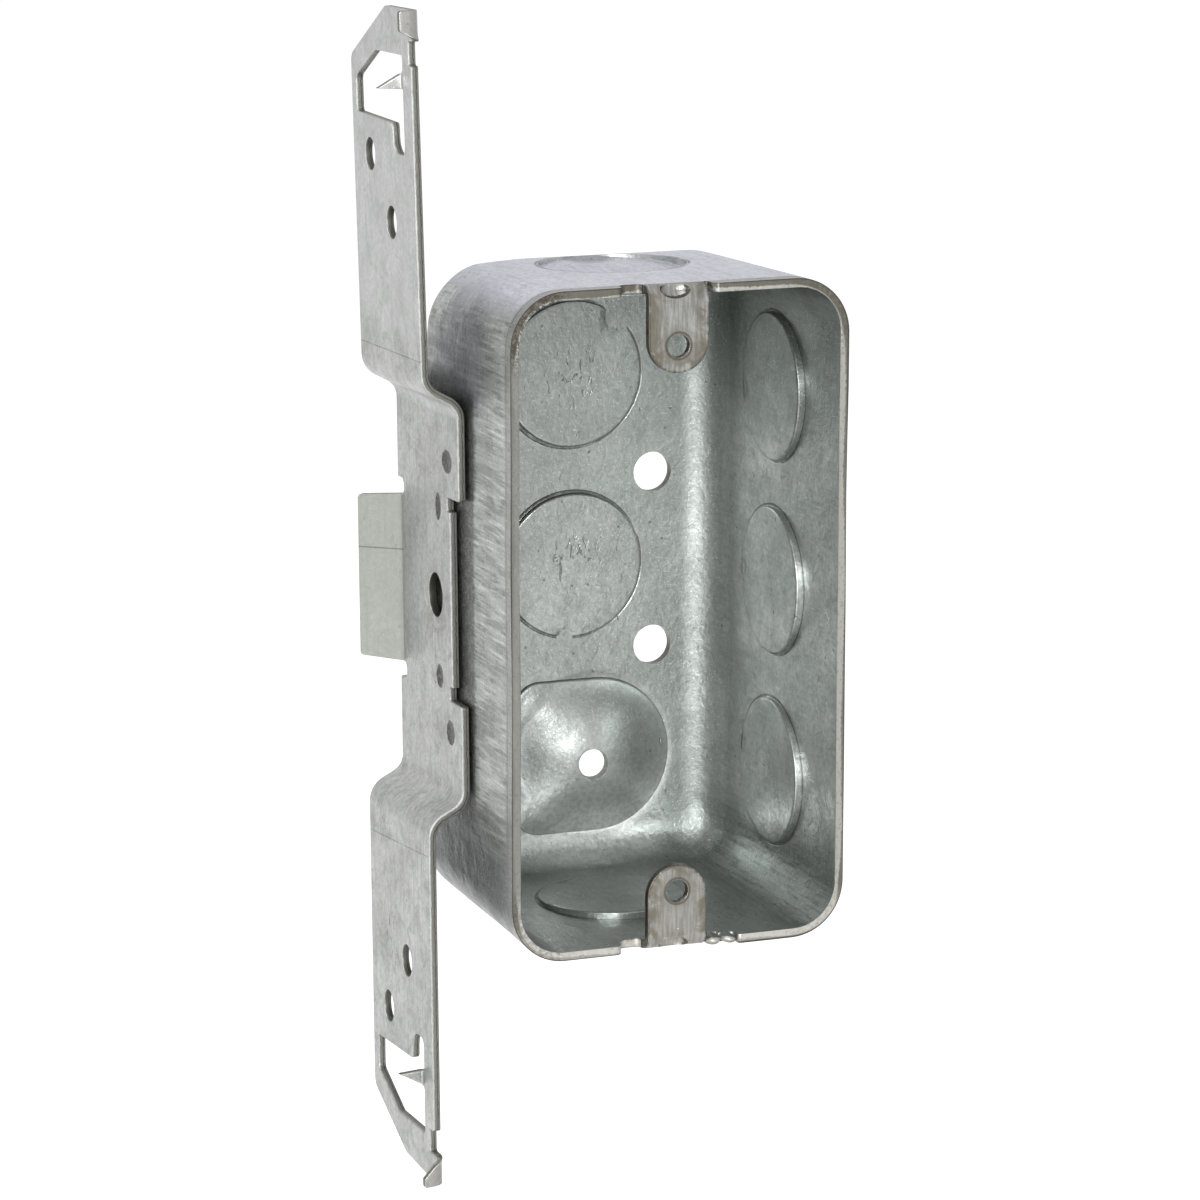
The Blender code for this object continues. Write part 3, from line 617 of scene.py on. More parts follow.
def boss_crown():
    """The boss's dome from its lip to its middle: (share of the outline, rise above the lip)."""
    places = [(BOSS_LIP_SHARE, 0.0)]
    rise = 0.0
    for step in range(1, BOSS_STEPS):
        part = BOSS_LIP_SHARE * (1.0 - (step - 0.5) / BOSS_STEPS)
        flatter = 1.0 - BOSS_FLATTER * smooth_step(part, BOSS_FLATTER_SHARE, 1.0)
        slope = BOSS_STEEPEST * min(part / BOSS_STEEPEST_SHARE, 1.0) * flatter
        rise += slope * BOSS_HEIGHT / 2.0 * BOSS_LIP_SHARE / BOSS_STEPS
        places.append((BOSS_LIP_SHARE * (1.0 - step / BOSS_STEPS), rise))
    return places


def boss_form(shrink, base_depth, reach):
    """The boss's D-shaped foot and round dome, its open side at reach behind base_depth."""
    side, top = BOSS_WIDTH / 2.0, BOSS_HEIGHT / 2.0
    small, large = BOSS_CORNER_RADIUS, top - SINK
    corners = [(-side, -top, small), (side, -top, large), (side, top, large),
               (-side, top, small)]
    outline = evened(rounded_outline(corners, 20), BOSS_POINT_SPACING)
    scale = 1.0 - shrink / top
    levels = [(1.0, -reach), *BOSS_FOOT]
    levels += [(share, BOSS_LIP + rise) for share, rise in boss_crown()]
    rings = []
    for share, rise in levels:
        roundness = 1.0 - smooth_step(share, BOSS_ROUND_SHARE, BOSS_LIP_SHARE)
        ring = []
        for point in outline:
            place = point.lerp(point.normalized() * top, roundness) * share * scale
            ring.append((BOSS_CENTRE_X + place.x, base_depth - rise, BOSS_CENTRE_Z + place.y))
        rings.append(ring)
    return skinned(rings, "boss")


def add_boss(box):
    """Raise the D-shaped grounding boss from the back wall, hollow behind."""
    sheet_along_side = BACK_SHEET * 0.75
    front = BOX_DEPTH - BACK_SHEET
    combine(box, boss_form(0.0, front, BACK_SHEET * COIN_SINK_SHARE), "UNION")
    combine(box, boss_form(sheet_along_side, BOX_DEPTH, BACK_SHEET), "DIFFERENCE")


def drill(box, x, z, radius, front, back):
    """A round hole through the back wall or a tab, along Y."""
    bm = extruded(circle_outline(x, -z, radius), front, back)
    turn = Matrix.Rotation(-math.pi / 2.0, 3, "X")
    bmesh.ops.rotate(bm, verts=bm.verts, cent=(0, 0, 0), matrix=turn)
    combine(box, object_from(bm, "drill"), "DIFFERENCE")


def tap(box, x, z, radius, front, back):
    """Thread grooves in a hole along Y."""
    rings = []
    count = int((back - front) / THREAD_PITCH * 2.0)
    for step in range(count + 1):
        wide = radius + THREAD_DEPTH * (1.0 if step % 2 else -THREAD_CREST_SHARE)
        depth = front + step * THREAD_PITCH / 2.0
        ring = circle_outline(0.0, 0.0, wide)
        rings.append([(x + point.x, depth, z + point.y) for point in ring])
    combine(box, skinned(rings, "tap"), "DIFFERENCE")


def tab_places():
    """Values that the rim's cut-outs and the folded tab share."""
    middle = TAB_BEND_RADIUS + TAB_SHEET / 2.0
    bend_depth = middle + TAB_SHEET / 2.0
    seat_depth = bend_depth + SINK
    outer_z = BOX_HEIGHT / 2.0 - (SIDE_SHEET - TAB_SHEET) / 2.0 - wall_inset(seat_depth)
    return middle, bend_depth, seat_depth, outer_z - TAB_SHEET / 2.0


def right_of_tab(up, right):
    """The rim's outline at the right of a tab: a slit above, room for two lumps below."""
    if up > 0:
        slit, round_end = right + UPPER_SLIT_WIDTH, UPPER_SLIT_WIDTH * 0.4
        return [(slit, -SINK, RIM_FILLET), (slit, SLIT_DEPTH, round_end),
                (right, SLIT_DEPTH, round_end)]
    lump, rim = right + LUMP_WIDTH, right + 2.0 * LUMP_WIDTH
    return [(rim, -SINK, LUMP_ROUNDING), (rim, LUMP_SEAT_DEPTH, LUMP_ROUNDING),
            (lump, LUMP_SEAT_DEPTH, 0.0), (lump, SLIT_DEPTH, 0.0),
            (right, SLIT_DEPTH, LUMP_ROUNDING / 2.0)]


def add_lumps(box):
    """The two rounded lumps of pushed-up metal at the right of the lower tab."""
    right = TAB_CENTRE_X + TAB_WIDTH / 2.0
    for index in (0, 1):
        place = (right + LUMP_WIDTH * (index + 0.54), LUMP_DEPTH * 0.9,
                 (LUMP_HEIGHT - BOX_HEIGHT) / 2.0)
        size = (LUMP_WIDTH * 0.52, LUMP_DEPTH, LUMP_HEIGHT * (0.62 - 0.06 * index))
        combine(box, ball(place, size, lean=0.25 * index), "UNION")


def cut_rim(box, up):
    """Cut the rim away where a tab is bent, with a rounded relief notch at its left."""
    _, _, seat_depth, _ = tab_places()
    left, right = TAB_CENTRE_X - TAB_WIDTH / 2.0, TAB_CENTRE_X + TAB_WIDTH / 2.0
    far_left = left - LEFT_NOTCH_WIDTH
    front = -SIDE_SHEET
    wide = 2.0 * RIM_FILLET
    beside = right_of_tab(up, right)
    far_right = beside[0][0] + wide
    corners = [(far_left - wide, front, 0.0), (far_right, front, 0.0), (far_right, -SINK, 0.0),
               *beside, (right, seat_depth, 0.0), (left, seat_depth, 0.0),
               (left, NOTCH_DEPTH, NOTCH_DEPTH - seat_depth - SINK),
               (far_left, NOTCH_DEPTH, NOTCH_ROUNDING), (far_left, -SINK, RIM_FILLET),
               (far_left - wide, -SINK, 0.0)]
    low, high = BOX_HEIGHT / 2.0 - 2.0 * SIDE_SHEET, BOX_HEIGHT / 2.0 + SIDE_SHEET
    ends = (low, high) if up > 0 else (-high, -low)
    cutter = object_from(extruded(rounded_outline(corners, 8), *ends), "rim_cut")
    combine(box, cutter, "DIFFERENCE")


def add_tab(box, up):
    """Fold one device tab from its flat blank and join it to the rim."""
    middle, bend_depth, seat_depth, sheet_z = tab_places()
    stub = seat_depth + SIDE_SHEET / 2.0
    half = TAB_WIDTH / 2.0 - SINK
    path = [("run", stub - bend_depth, 0.0), *bend_then_run(math.pi / 2.0, middle)]
    face_start = stub - bend_depth + middle * math.pi / 2.0 + sheet_z - middle
    tip = face_start - TAB_TIP_Z
    corners = [(-half, 0.0, 0.0), (half, 0.0, 0.0), (half, tip, half - SINK),
               (-half, tip, half - SINK)]
    hole = circle_outline(0.0, face_start - TAB_HOLE_SPACING / 2.0, TAB_HOLE_RADIUS)
    bm = flat_blank(rounded_outline(corners, 10), [hole], TAB_SHEET)
    slice_blank(bm, 1, bend_places(path, 0.0))
    for vert in bm.verts:
        ahead, down = fold(path, vert.co.y, vert.co.z)
        vert.co = Vector((TAB_CENTRE_X + vert.co.x, stub - ahead, up * (sheet_z - down)))
    combine(box, object_from(bm, "tab"), "UNION")


def add_dimple(box, up):
    """The round stiffening dent across the bend of a tab."""
    _, bend_depth, _, sheet_z = tab_places()
    wide, tall = LENS_WIDTH / 2.0, LENS_SQUASH * LENS_WIDTH / 2.0
    lift = (tall - LENS_DEPTH) * math.sqrt(0.5)
    corner = bend_depth * (1.0 - math.sqrt(0.5))
    place = (TAB_CENTRE_X + LENS_SHIFT, corner - lift,
             up * (sheet_z + TAB_SHEET / 2.0 - corner + lift))
    combine(box, ball(place, (wide, tall, tall), steps=40), "DIFFERENCE")


def unevenness(place, seed):
    """Smooth noise of -1 to 1 for the waviness of drawn sheet."""
    return noise.noise(Vector(place) * WAVES_PER_METRE + Vector((seed, 0.0, -seed)))


def settle_box(mesh):
    """Make the drawn walls a little wavy, and let the corner behind the upper arm sag."""
    for vert in mesh.vertices:
        x, y, z = vert.co
        near_rim = max(1.0 - y / RIM_WAVE_DEPTH, 0.0)
        wave = WALL_WAVE * (1.0 + near_rim)
        side = smooth_step(abs(x), *SIDE_WAVES) * math.copysign(1.0, x)
        end = smooth_step(abs(z), *END_WAVES) * math.copysign(1.0, z)
        back = smooth_step(y, *BACK_WAVES)
        shift = Vector((side * unevenness(vert.co, 3.0), 0.0, end * unevenness(vert.co, 7.0)))
        shift *= wave
        shift.y = unevenness(vert.co, 11.0) * WALL_WAVE * (back + near_rim * near_rim)
        sag = smooth_step(y, *SAG_FROM_FRONT) * smooth_step(z, *SAG_UPWARDS)
        vert.co += shift + Vector(CORNER_SAG) * sag * smooth_step(-x, *SAG_LEFTWARDS)


def build_box():
    """The whole box body."""
    box = drawn_shell()
    for up in (1.0, -1.0):
        cut_rim(box, up)
        add_tab(box, up)
        add_dimple(box, up)
        tap(box, TAB_CENTRE_X, up * TAB_HOLE_SPACING / 2.0, TAB_HOLE_RADIUS,
            -THREAD_PITCH * 1.2, TAB_SHEET + THREAD_PITCH)
    for row in (1.0, 0.0, -1.0):
        add_knockout(box, "right", WALL_KNOCKOUT_DEPTH, row * KNOCKOUT_PITCH, SIDE_TIE * row)
    add_knockout(box, "top", TOP_KNOCKOUT_DEPTH, TOP_KNOCKOUT_SIDE, 0.0,
                 TOP_KNOCKOUT_STEP, WIDE_TIE_REACH)
    add_knockout(box, "bottom", BOTTOM_KNOCKOUT_DEPTH, BOTTOM_KNOCKOUT_SIDE, BOTTOM_TIE)
    add_knockout(box, "back", 0.0, KNOCKOUT_PITCH, UPPER_BACK_TIE, tie_reach=WIDE_TIE_REACH)
    add_knockout(box, "back", 0.0, 0.0, MIDDLE_BACK_TIE)
    add_lumps(box)
    add_boss(box)
    behind = BOX_DEPTH + BACK_SHEET
    before = BOX_DEPTH - BACK_SHEET - 2.0 * BOSS_RISE
    hole_x, hole_z = BOSS_CENTRE_X + GROUND_HOLE_OFFSET_X, BOSS_CENTRE_Z + GROUND_HOLE_OFFSET_Z
    drill(box, hole_x, hole_z, GROUND_HOLE_RADIUS - THREAD_DEPTH, before, behind)
    tap(box, hole_x, hole_z, GROUND_HOLE_RADIUS - THREAD_DEPTH / 2.0, before, behind)
    for up in (1.0, -1.0):
        drill(box, FIXING_HOLE_X, up * FIXING_HOLE_Z, FIXING_HOLE_RADIUS, before, behind)
    return box


def bent_middle(inner_radius):
    """The radius of the bracket sheet's middle in a bend."""
    return inner_radius + BRACKET_SHEET / 2.0


def arm_path(up):
    """The folding path of the plate and one arm, seen along the plate's width."""
    middle = bent_middle(STEP_BEND_RADIUS)
    return [("run", PLATE_HALF_HEIGHT, 0.0), ("bend", STEP_ANGLE, middle),
            ("run", STEP_SLOPE_LENGTH, 0.0), *bend_then_run(ARM_LEAN[up] - STEP_ANGLE, middle)]


def arm_root(up):
    """How far from the middle, on the flat blank, the straight arm starts."""
    bends = bent_middle(STEP_BEND_RADIUS) * (2.0 * STEP_ANGLE - ARM_LEAN[up])
    return PLATE_HALF_HEIGHT + STEP_SLOPE_LENGTH + bends - ARM_SHORTER[up]


def blank_reach(length, bend_radius):
    """The flat length of a part bent up square, from the length it has when bent."""
    return bent_middle(bend_radius) * math.pi / 2.0 + length - bend_radius - BRACKET_SHEET


def arm_outline(up):
    """Corners of one arm's end on the flat blank, from the front edge to the rear edge."""
    end = arm_root(up) + ARM_LENGTH
    notch_far = end - HOOK_ROOT_LENGTH
    notch_near = notch_far - HOOK_NOTCH_LENGTH
    depth = HOOK_NOTCH_DEPTH[up]
    reach = blank_reach(HOOK_REACH, HOOK_BEND_RADIUS)
    hook_low = end - HOOK_TIP_LENGTH[up]
    small = CORNER_ROUNDING
    corners = [(0.0, notch_near, small), (depth, notch_near, small), (depth, notch_far, small),
               (-small, notch_far, small), (-reach, hook_low, small), (-reach, end, small),
               (ARM_END_WIDTH[up], end - ARM_END_SLANT[up], ARM_END_ROUNDING),
               (PLATE_WIDTH, end - ARM_TAPER_LENGTH, ARM_TAPER_ROUNDING)]
    return [(x, up * y, radius) for x, y, radius in corners]


def spur_start(up):
    """Where the spur's base starts on the flat blank."""
    return arm_root(up) + SPUR_FROM_STEP[up]


def window_outline(up):
    """The window near the arm's end, with its slot and the spur standing in it."""
    near = arm_root(up) + WINDOW_FROM_STEP
    near_front = near - WINDOW_NEAR_SLANT
    slot_end = near_front - SLOT_DEPTH
    slot_rear = FRONT_STRIP_WIDTH + SLOT_WIDTH
    front, rear = FRONT_STRIP_WIDTH, PLATE_WIDTH - REAR_STRIP_WIDTH
    spur = spur_start(up)
    point = front + blank_reach(SPUR_LENGTH, SPUR_BEND_RADIUS)
    far = near + WINDOW_LONG_SIDE
    corners = [(front, slot_end, 0.0012), (slot_rear, slot_end, SLOT_ROUNDING),
               (slot_rear, near_front, 0.0008), (rear, near, 0.0006),
               (rear, near + WINDOW_SHORT_SIDE, 0.0010),
               (rear - WINDOW_TAPER_WIDTH, far, 0.0010), (front, far, 0.0006),
               (front, spur + SPUR_BASE, 0.0), (point, spur + SPUR_BASE * SPUR_POINT_SHARE, 0.0),
               (front, spur, 0.0)]
    return [(x, up * y, radius) for x, y, radius in corners]


def lip_outline():
    """The recess in the plate's front edge, with a small slot at each end."""
    deep = LIP_RECESS + LIP_SLOT_DEPTH
    small = CORNER_ROUNDING
    upper, lower = LIP_TOP - LIP_SLOT_WIDTH, LIP_SLOT_WIDTH - LIP_BOTTOM
    return [(0.0, LIP_TOP, small), (deep, LIP_TOP, small), (deep, upper, small),
            (LIP_RECESS, upper, 0.0), (LIP_RECESS, lower, 0.0), (deep, lower, small),
            (deep, -LIP_BOTTOM, small), (0.0, -LIP_BOTTOM, small)]


def flag_outline():
    """The flag at the plate's rear edge and the relief notch on each side of it."""
    half = FLAG_HEIGHT / 2.0
    tip = PLATE_WIDTH - FLAG_BEND_SETBACK + FLAG_LENGTH
    inner, outer = PLATE_WIDTH - RELIEF_DEPTH, half + RELIEF_WIDTH
    rounding = RELIEF_WIDTH * 0.45
    lower = [(PLATE_WIDTH, -outer, CORNER_ROUNDING), (inner, -outer, rounding),
             (inner, -half, rounding), (tip, FLAG_TAPER - half, 0.0006)]
    return lower + [(x, -y, radius) for x, y, radius in lower[::-1]]


def arm_holes(up):
    """The places of the two holes in one arm, on the flat blank."""
    return [(NEAR_HOLE_FROM_FRONT, up * (arm_root(up) + NEAR_HOLE_FROM_STEP)),
            (FAR_HOLE_FROM_FRONT, up * (arm_root(up) + FAR_HOLE_FROM_STEP))]


def bracket_blank():
    """The flat blank of the bracket, with all its holes."""
    corners = arm_outline(-1.0) + flag_outline() + arm_outline(1.0)[::-1] + lip_outline()
    holes = [circle_outline(CENTRE_HOLE_FROM_FRONT, 0.0, CENTRE_HOLE_RADIUS)]
    for up in (1.0, -1.0):
        holes += [circle_outline(*place, ARM_HOLE_RADIUS) for place in arm_holes(up)]
        holes.append(rounded_outline(window_outline(up)))
    return object_from(flat_blank(rounded_outline(corners), holes, BRACKET_SHEET), "blank")


def fold_across(across, height, up_place):
    """Bend the hooks, the spurs and the flag, all about lines along the blank."""
    flag_start = PLATE_WIDTH - FLAG_BEND_SETBACK
    up = math.copysign(1.0, up_place)
    spur_near = spur_start(up) - SINK
    spur_far = spur_near + SPUR_BASE + 2.0 * SINK
    spur_reach = blank_reach(SPUR_LENGTH, SPUR_BEND_RADIUS) + SINK
    if across < 0.0 and abs(up_place) > arm_root(up):
        path = bend_then_run(math.pi / 2.0, bent_middle(HOOK_BEND_RADIUS))
        ahead, out = fold(path, -across, height)
        return -ahead, out
    if 0.0 < across - FRONT_STRIP_WIDTH < spur_reach and spur_near < abs(up_place) < spur_far:
        path = bend_then_run(math.pi / 2.0, bent_middle(SPUR_BEND_RADIUS))
        back, out = fold(path, across - FRONT_STRIP_WIDTH, height)
        return FRONT_STRIP_WIDTH + back, out
    if across > flag_start and abs(up_place) < FLAG_HEIGHT / 2.0 + SINK:
        path = bend_then_run(FLAG_ANGLE, bent_middle(FLAG_BEND_RADIUS))
        back, out = fold(path, across - flag_start, height)
        return flag_start + back, out
    return across, height


def fold_along(up_place, height):
    """Step the two arms outwards from the plate."""
    up = math.copysign(1.0, up_place)
    rise, out = fold(arm_path(up), abs(up_place), height)
    return up * rise, out


def bracket_frame():
    """Where the bracket sits: flat on the drafted left wall, tilted a little in its plane."""
    middle_depth = PLATE_SETBACK + PLATE_WIDTH / 2.0
    outward = Vector((-math.cos(WALL_DRAFT), math.sin(WALL_DRAFT), 0.0))
    rearward = Vector((math.sin(WALL_DRAFT), math.cos(WALL_DRAFT), 0.0))
    tilt = Matrix.Rotation(PLATE_TILT, 3, outward)
    wall = Vector((wall_inset(middle_depth) - BOX_WIDTH / 2.0, middle_depth, 0.0))
    origin = wall + outward * bent_middle(WELD_GAP)
    return origin, tilt @ rearward, tilt @ Vector((0.0, 0.0, 1.0)), outward


def press_welds(blank):
    """Dent the flat blank's outer face where it was spot-welded to the box."""
    grow = 1.0 / math.sqrt(1.0 - (2.0 / 3.0) ** 2)
    for across, along, wide, tall in WELD_MARKS:
        place = (across, along, BRACKET_SHEET / 2.0 + WELD_MARK_DEPTH * 2.0)
        size = (wide * grow, tall * grow, WELD_MARK_DEPTH * 3.0)
        combine(blank, ball(place, size), "DIFFERENCE")


def hook_root(up):
    """Where, along the flat blank, the hook's root meets its notch."""
    return arm_root(up) + ARM_LENGTH - HOOK_ROOT_LENGTH


def hook_push(across, up_place):
    """How far the metal at a hook's root is pushed forward by the bending."""
    root = hook_root(math.copysign(1.0, up_place))
    near = max(1.0 - abs(abs(up_place) - root - HOOK_CUT / 2.0) / (4.0 * HOOK_CUT), 0.0)
    return HOOK_NUB * near * near * smooth_step(-across, 0.0, 0.0012)


def build_bracket():
    """The stud bracket, folded from one flat blank.

    The mesh keeps which faces the shear made, and each point's place on the flat blank.
    """
    blank = bracket_blank()
    press_welds(blank)
    bm = bmesh.new()
    bm.from_mesh(blank.data)
    bpy.data.objects.remove(blank, do_unlink=True)
    shear = bm.faces.layers.float.new("shear")
    for face in bm.faces:
        face[shear] = 1.0 if abs(face.normal.z) < 0.45 else 0.0
    hook_reach = blank_reach(HOOK_REACH, HOOK_BEND_RADIUS)
    cuts = [-hook_reach * share / HOOK_SLICES for share in range(HOOK_SLICES)]
    for angle, radius, start in (
            (math.pi / 2.0, SPUR_BEND_RADIUS, FRONT_STRIP_WIDTH),
            (FLAG_ANGLE, FLAG_BEND_RADIUS, PLATE_WIDTH - FLAG_BEND_SETBACK)):
        cuts += bend_places([("bend", angle, bent_middle(radius))], start)
    slice_blank(bm, 0, cuts)
    for up in (1.0, -1.0):
        slice_blank(bm, 1, [up * place for place in bend_places(arm_path(up), 0.0)])
    for up in (1.0, -1.0):
        slice_blank(bm, 1, [up * (hook_root(up) + HOOK_CUT * step) for step in range(-2, 5)])
    clean_mesh(bm)
    flat = bm.verts.layers.float_vector.new("flat")
    origin, rearward, upward, outward = bracket_frame()
    for vert in bm.verts:
        vert[flat] = vert.co.copy()
        across, height = fold_across(vert.co.x, vert.co.z, vert.co.y)
        across -= hook_push(vert.co.x, vert.co.y)
        rise, out = fold_along(vert.co.y, height)
        offset = rearward * (across - PLATE_WIDTH / 2.0) + upward * rise + outward * out
        vert.co = origin + offset
    return object_from(bm, "stud_bracket")


class Tree:
    """The nodes of a material or of the world, with one short call for each kind of node."""

    def __init__(self, owner):
        owner.use_nodes = True
        self.nodes = owner.node_tree.nodes
        self.links = owner.node_tree.links

    def feed(self, socket, value):
        """Link a node's output to a socket, or write a plain value on it."""
        if isinstance(value, bpy.types.NodeSocket):
            self.links.new(value, socket)
        else:
            socket.default_value = value

    def add(self, kind, values=None, **settings):
        """A new node with its settings and input values; returns its outputs."""
        node = self.nodes.new(kind)
        for name, value in settings.items():
            setattr(node, name, value)
        for name, value in (values or {}).items():
            self.feed(node.inputs[name], value)
        return node.outputs

    def noise(self, source, scale, detail=3.0, rough=0.5, twist=0.0, turn=(0.0, 0.0, 0.0)):
        """Soft noise, about 0 to 1; scale is its grains per metre, or those along each axis."""
        if isinstance(scale, tuple):
            mapping = {"Vector": source, "Rotation": turn, "Scale": scale}
            source, scale = self.add("ShaderNodeMapping", mapping)["Vector"], 1.0
        values = {"Vector": source, "Scale": scale, "Detail": detail, "Roughness": rough,
                  "Distortion": twist}
        return self.add("ShaderNodeTexNoise", values)["Fac"]

    def dots(self, source, scale, far, close):
        """Small dots round the points of a random scatter."""
        cells = self.add("ShaderNodeTexVoronoi", {"Vector": source, "Scale": scale})
        return self.ramp(cells["Distance"], far, close)

    def math(self, kind, first, second=0.0):
        """One sum, product or comparison."""
        return self.add("ShaderNodeMath", {0: first, 1: second}, operation=kind)[0]

    def chain(self, kind, values):
        """Several values taken together by one operation."""
        result, *others = values
        for value in others:
            result = self.math(kind, result, value)
        return result

    def product(self, *values):
        """Several values multiplied."""
        return self.chain("MULTIPLY", values)

    def total(self, *values):
        """Several values added."""
        return self.chain("ADD", values)

    def highest(self, *values):
        """The highest of several values."""
        return self.chain("MAXIMUM", values)

    def ramp(self, value, low, high, start=0.0, end=1.0):
        """A smooth step of the value from low to high."""
        values = {"Value": value, "From Min": low, "From Max": high, "To Min": start,
                  "To Max": end}
        return self.add("ShaderNodeMapRange", values, interpolation_type="SMOOTHSTEP")["Result"]

    def near(self, value, place, far, close):
        """1 where the value is within close of a place, and 0 from far on."""
        away = self.math("ABSOLUTE", self.math("SUBTRACT", value, place))
        return self.ramp(away, far, close)

    def axes(self, vector):
        """The three parts of a vector."""
        return self.add("ShaderNodeSeparateXYZ", {0: vector})

    def mask(self, name):
        """A number kept on the mesh."""
        return self.add("ShaderNodeAttribute", attribute_name=name)["Fac"]

    def reach(self, first, second, place=(0.0, 0.0)):
        """Distance in a plane from a place to the point being shaded."""
        across = self.math("SUBTRACT", first, place[0])
        up = self.math("SUBTRACT", second, place[1])
        squares = self.total(self.product(across, across), self.product(up, up))
        return self.math("SQRT", squares)

    def layered(self, base, *layers):
        """The base colour under layers of tint, each as strong as the product of its shares."""
        colour = screen_colour(base)
        for tint, *shares in layers:
            values = {0: self.product(*shares), 6: colour, 7: screen_colour(tint)}
            colour = self.add("ShaderNodeMix", values, data_type="RGBA")[2]
        return colour

    def relief(self, *layers):
        """Bumps laid over each other, each from its height, distance in metres and strength."""
        relief = None
        for height, distance, strength in layers:
            values = {"Height": height, "Distance": distance, "Strength": strength}
            if relief is not None:
                values["Normal"] = relief
            relief = self.add("ShaderNodeBump", values)["Normal"]
        return relief

    def make_metal(self, colour, rough, relief):
        """Feed the shader of a metal."""
        surface = self.nodes["Principled BSDF"].inputs
        self.feed(surface["Base Color"], colour)
        self.feed(surface["Roughness"], rough)
        self.feed(surface["Normal"], relief)
        surface["Metallic"].default_value = 0.75


def screen_colour(colour):
    """A colour from screen values of 0 to 255; a node's colour stays as it is."""
    if isinstance(colour, bpy.types.NodeSocket):
        return colour
    shares = [part / 255.0 for part in colour]
    return (*(s / 12.92 if s <= 0.04045 else ((s + 0.055) / 1.055) ** 2.4 for s in shares), 1.0)


def disc_lines(tree, x, y, z, patches):
    """Masks of the dark lines round the knockouts, and of the middle of the back's discs."""
    ramp, product = tree.ramp, tree.product
    top_side = ramp(z, -0.001, 0.001)
    end_x = ramp(top_side, 0.0, 1.0, BOTTOM_KNOCKOUT_SIDE, TOP_KNOCKOUT_SIDE)
    end_y = ramp(top_side, 0.0, 1.0, BOTTOM_KNOCKOUT_DEPTH, TOP_KNOCKOUT_DEPTH)
    row = tree.math("ROUND", tree.math("DIVIDE", z, KNOCKOUT_PITCH))
    row_z = tree.math("SUBTRACT", z, product(row, KNOCKOUT_PITCH))
    end = tree.math("ABSOLUTE", z)
    on_side = product(ramp(x, 0.0225, 0.0235), ramp(end, 0.0455, 0.0445))
    on_back = product(ramp(y, 0.0425, 0.0435), ramp(z, -0.0150, -0.0145))
    back_reach = tree.reach(x, row_z)
    rings = []
    for wall, reach in (
            (on_side, tree.reach(y, row_z, (WALL_KNOCKOUT_DEPTH, 0.0))), (on_back, back_reach),
            (ramp(end, 0.0465, 0.0470), tree.reach(x, y, (end_x, end_y)))):
        rings.append(product(wall, tree.near(reach, KNOCKOUT_RADIUS + 0.00026, 0.0003, 0.0001)))
    ties = []
    for angle, height, width in ((UPPER_BACK_TIE, KNOCKOUT_PITCH, WIDE_TIE_REACH),
                                 (MIDDLE_BACK_TIE, 0.0, COIN_TIE_REACH)):
        tie = (KNOCKOUT_RADIUS * math.cos(angle), height + KNOCKOUT_RADIUS * math.sin(angle))
        ties.append(ramp(tree.reach(x, z, tie), width * 0.65, width * 0.95))
    lines = product(tree.highest(*rings), *ties, ramp(patches, 0.25, 0.55, 0.35, 1.0))
    return lines, product(on_back, ramp(back_reach, 0.0068, 0.0015))


def box_edge(tree, x, z, torn, place):
    """The colour of the box's sheared rim: brown and torn, darker at its two borders."""
    ramp, product = tree.ramp, tree.product
    side, end = tree.math("ABSOLUTE", x), tree.math("ABSOLUTE", z)
    rim = tree.mask("rim")
    upright, low = ramp(end, 0.044, 0.038), ramp(z, -0.043, -0.048)
    rough_rim = tree.total(
        rim, ramp(torn, 0.2, 0.8, -0.14, 0.14),
        ramp(tree.noise(place, 55.0, 2.0), 0.3, 0.7, -0.22, 0.16), product(upright, 0.26),
        product(low, 0.30), ramp(z, 0.038, 0.046, 0.0, -0.14))
    return tree.layered(
        (96, 94, 86), ((158, 157, 151), ramp(rough_rim, 0.46, 0.60)),
        ((110, 110, 106), upright, ramp(x, 0.0, -0.01, 0.25, 0.85)), ((190, 188, 181), 0.35, low),
        ((66, 64, 59), ramp(rim, 0.17, 0.06)), ((104, 103, 98), ramp(rim, 0.90, 0.98)),
        ((84, 81, 74), ramp(torn, 0.52, 0.70, 0.0, 0.50)),
        # Scorched corners
        ((62, 57, 50), 0.85, ramp(side, 0.0165, 0.0205), ramp(end, 0.037, 0.043),
         ramp(torn, 0.44, 0.52), ramp(x, 0.010, -0.010, 0.45, 1.0),
         ramp(z, -0.010, 0.010, 0.45, 1.0)))


